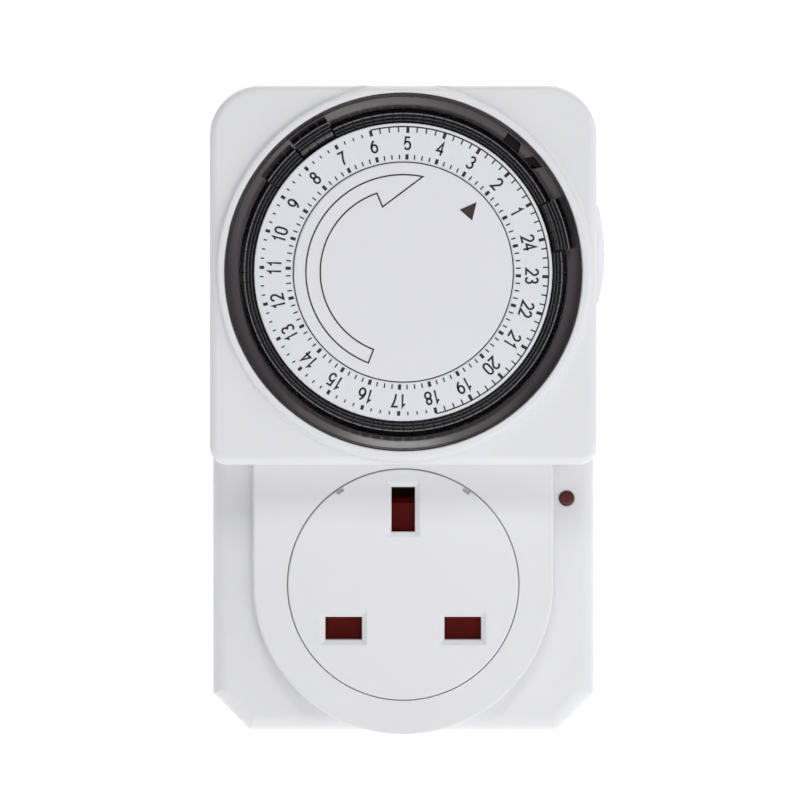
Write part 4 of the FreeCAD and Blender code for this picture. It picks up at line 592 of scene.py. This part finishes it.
# ---------------------------------------------------------------------------
# Studio: a pale sweep below and behind, lit by a lamp of its own; softboxes in
# front, above and at the right; a small bounce card on the table; a weak rim
# light at each side; and a camera square to the front. Sizes are in metres.
# ---------------------------------------------------------------------------
sweep_paint, tree, output, place = new_material("pale studio sweep")
speck = add_node(tree, "ShaderNodeTexNoise", {"Scale": 1 / (60 * MM)}, {"Vector": place})
tone = add_node(tree, "ShaderNodeMix", {"data_type": "RGBA", 6: linear("#f4f4f4"), 7: linear("#f8f8f8")},
                {0: speck.outputs["Fac"]})
shader = add_node(tree, "ShaderNodeBsdfPrincipled",
                  {"Roughness": 0.9, "Emission Color": linear("#ffffff"), "Emission Strength": 0.35},
                  {"Base Color": tone.outputs[2]})
tree.links.new(shader.outputs["BSDF"], output.inputs["Surface"])

FLOOR_Z = -0.06
SWEEP_R = 0.5
SWEEP_START_Y = 0.6
SWEEP_REACH = 3.0
sweep = bpy.data.objects.new("pale_sweep", bpy.data.meshes.new("pale_sweep"))
bpy.context.scene.collection.objects.link(sweep)
sweep.data.materials.append(sweep_paint)
mesh = bmesh.new()
profile = [(-SWEEP_REACH, FLOOR_Z), (SWEEP_START_Y, FLOOR_Z)]
for angle in range(5, 91, 5):
    turn = math.radians(angle)
    profile.append((SWEEP_START_Y + SWEEP_R * math.sin(turn), FLOOR_Z + SWEEP_R * (1 - math.cos(turn))))
profile.append((SWEEP_START_Y + SWEEP_R, SWEEP_REACH))
rows = [[mesh.verts.new((x, y, z)) for x in (-SWEEP_REACH, SWEEP_REACH)] for y, z in profile]
for here, there in zip(rows, rows[1:]):
    mesh.faces.new((here[0], here[1], there[1], there[0]))
close_piece(sweep, mesh, 60)


def soft_light(name, place, aim, wide, high, power):
    """A rectangular softbox that faces a point."""
    lamp = bpy.data.lights.new(name, "AREA")
    lamp.shape = "RECTANGLE"
    lamp.size = wide
    lamp.size_y = high
    lamp.energy = power
    holder = bpy.data.objects.new(name, lamp)
    holder.location = place
    holder.rotation_euler = (Vector(aim) - Vector(place)).to_track_quat("-Z", "Y").to_euler()
    bpy.context.scene.collection.objects.link(holder)


TARGET = (0.0, -0.04, 0.045)
soft_light("top_front_softbox", (0.02, -0.78, 0.72), TARGET, 0.3, 0.3, 1.6)
soft_light("wide_front_softbox", (0.0, -0.8, 0.74), TARGET, 0.95, 0.35, 1.5)
soft_light("right_softbox", (0.85, -0.4, 0.3), TARGET, 0.5, 0.5, 1.7)
soft_light("overhead_softbox", (0.1, -0.1, 0.85), TARGET, 0.6, 0.6, 0.8)
soft_light("table_bounce", (0.035, -0.22, FLOOR_Z + 0.004), (0.0, -0.05, 0.06), 0.11, 0.11, 0.07)
soft_light("right_rim_softbox", (0.8, 0.25, 0.1), TARGET, 0.6, 0.6, 0.6)
soft_light("left_rim_softbox", (-0.8, 0.3, 0.1), TARGET, 0.6, 0.6, 0.4)
soft_light("backdrop_light", (0.0, 0.4, 0.8), (0.0, 0.8, 0.0), 1.2, 0.5, 5.5)

world = bpy.data.worlds.new("soft room")
world.use_nodes = True
world.node_tree.nodes["Background"].inputs["Color"].default_value = linear("#f2f4f8")
world.node_tree.nodes["Background"].inputs["Strength"].default_value = 0.2
bpy.context.scene.world = world
bpy.context.scene.view_settings.view_transform = "Standard"

lens = bpy.data.cameras.new("front_camera")
lens.sensor_width = 36.0
lens.lens = 214.9
camera = bpy.data.objects.new("front_camera", lens)
camera.location = (-0.0006, -0.9202, 0.0344)
camera.rotation_euler = (math.radians(90), 0.0, 0.0)
bpy.context.scene.collection.objects.link(camera)
bpy.context.scene.camera = camera
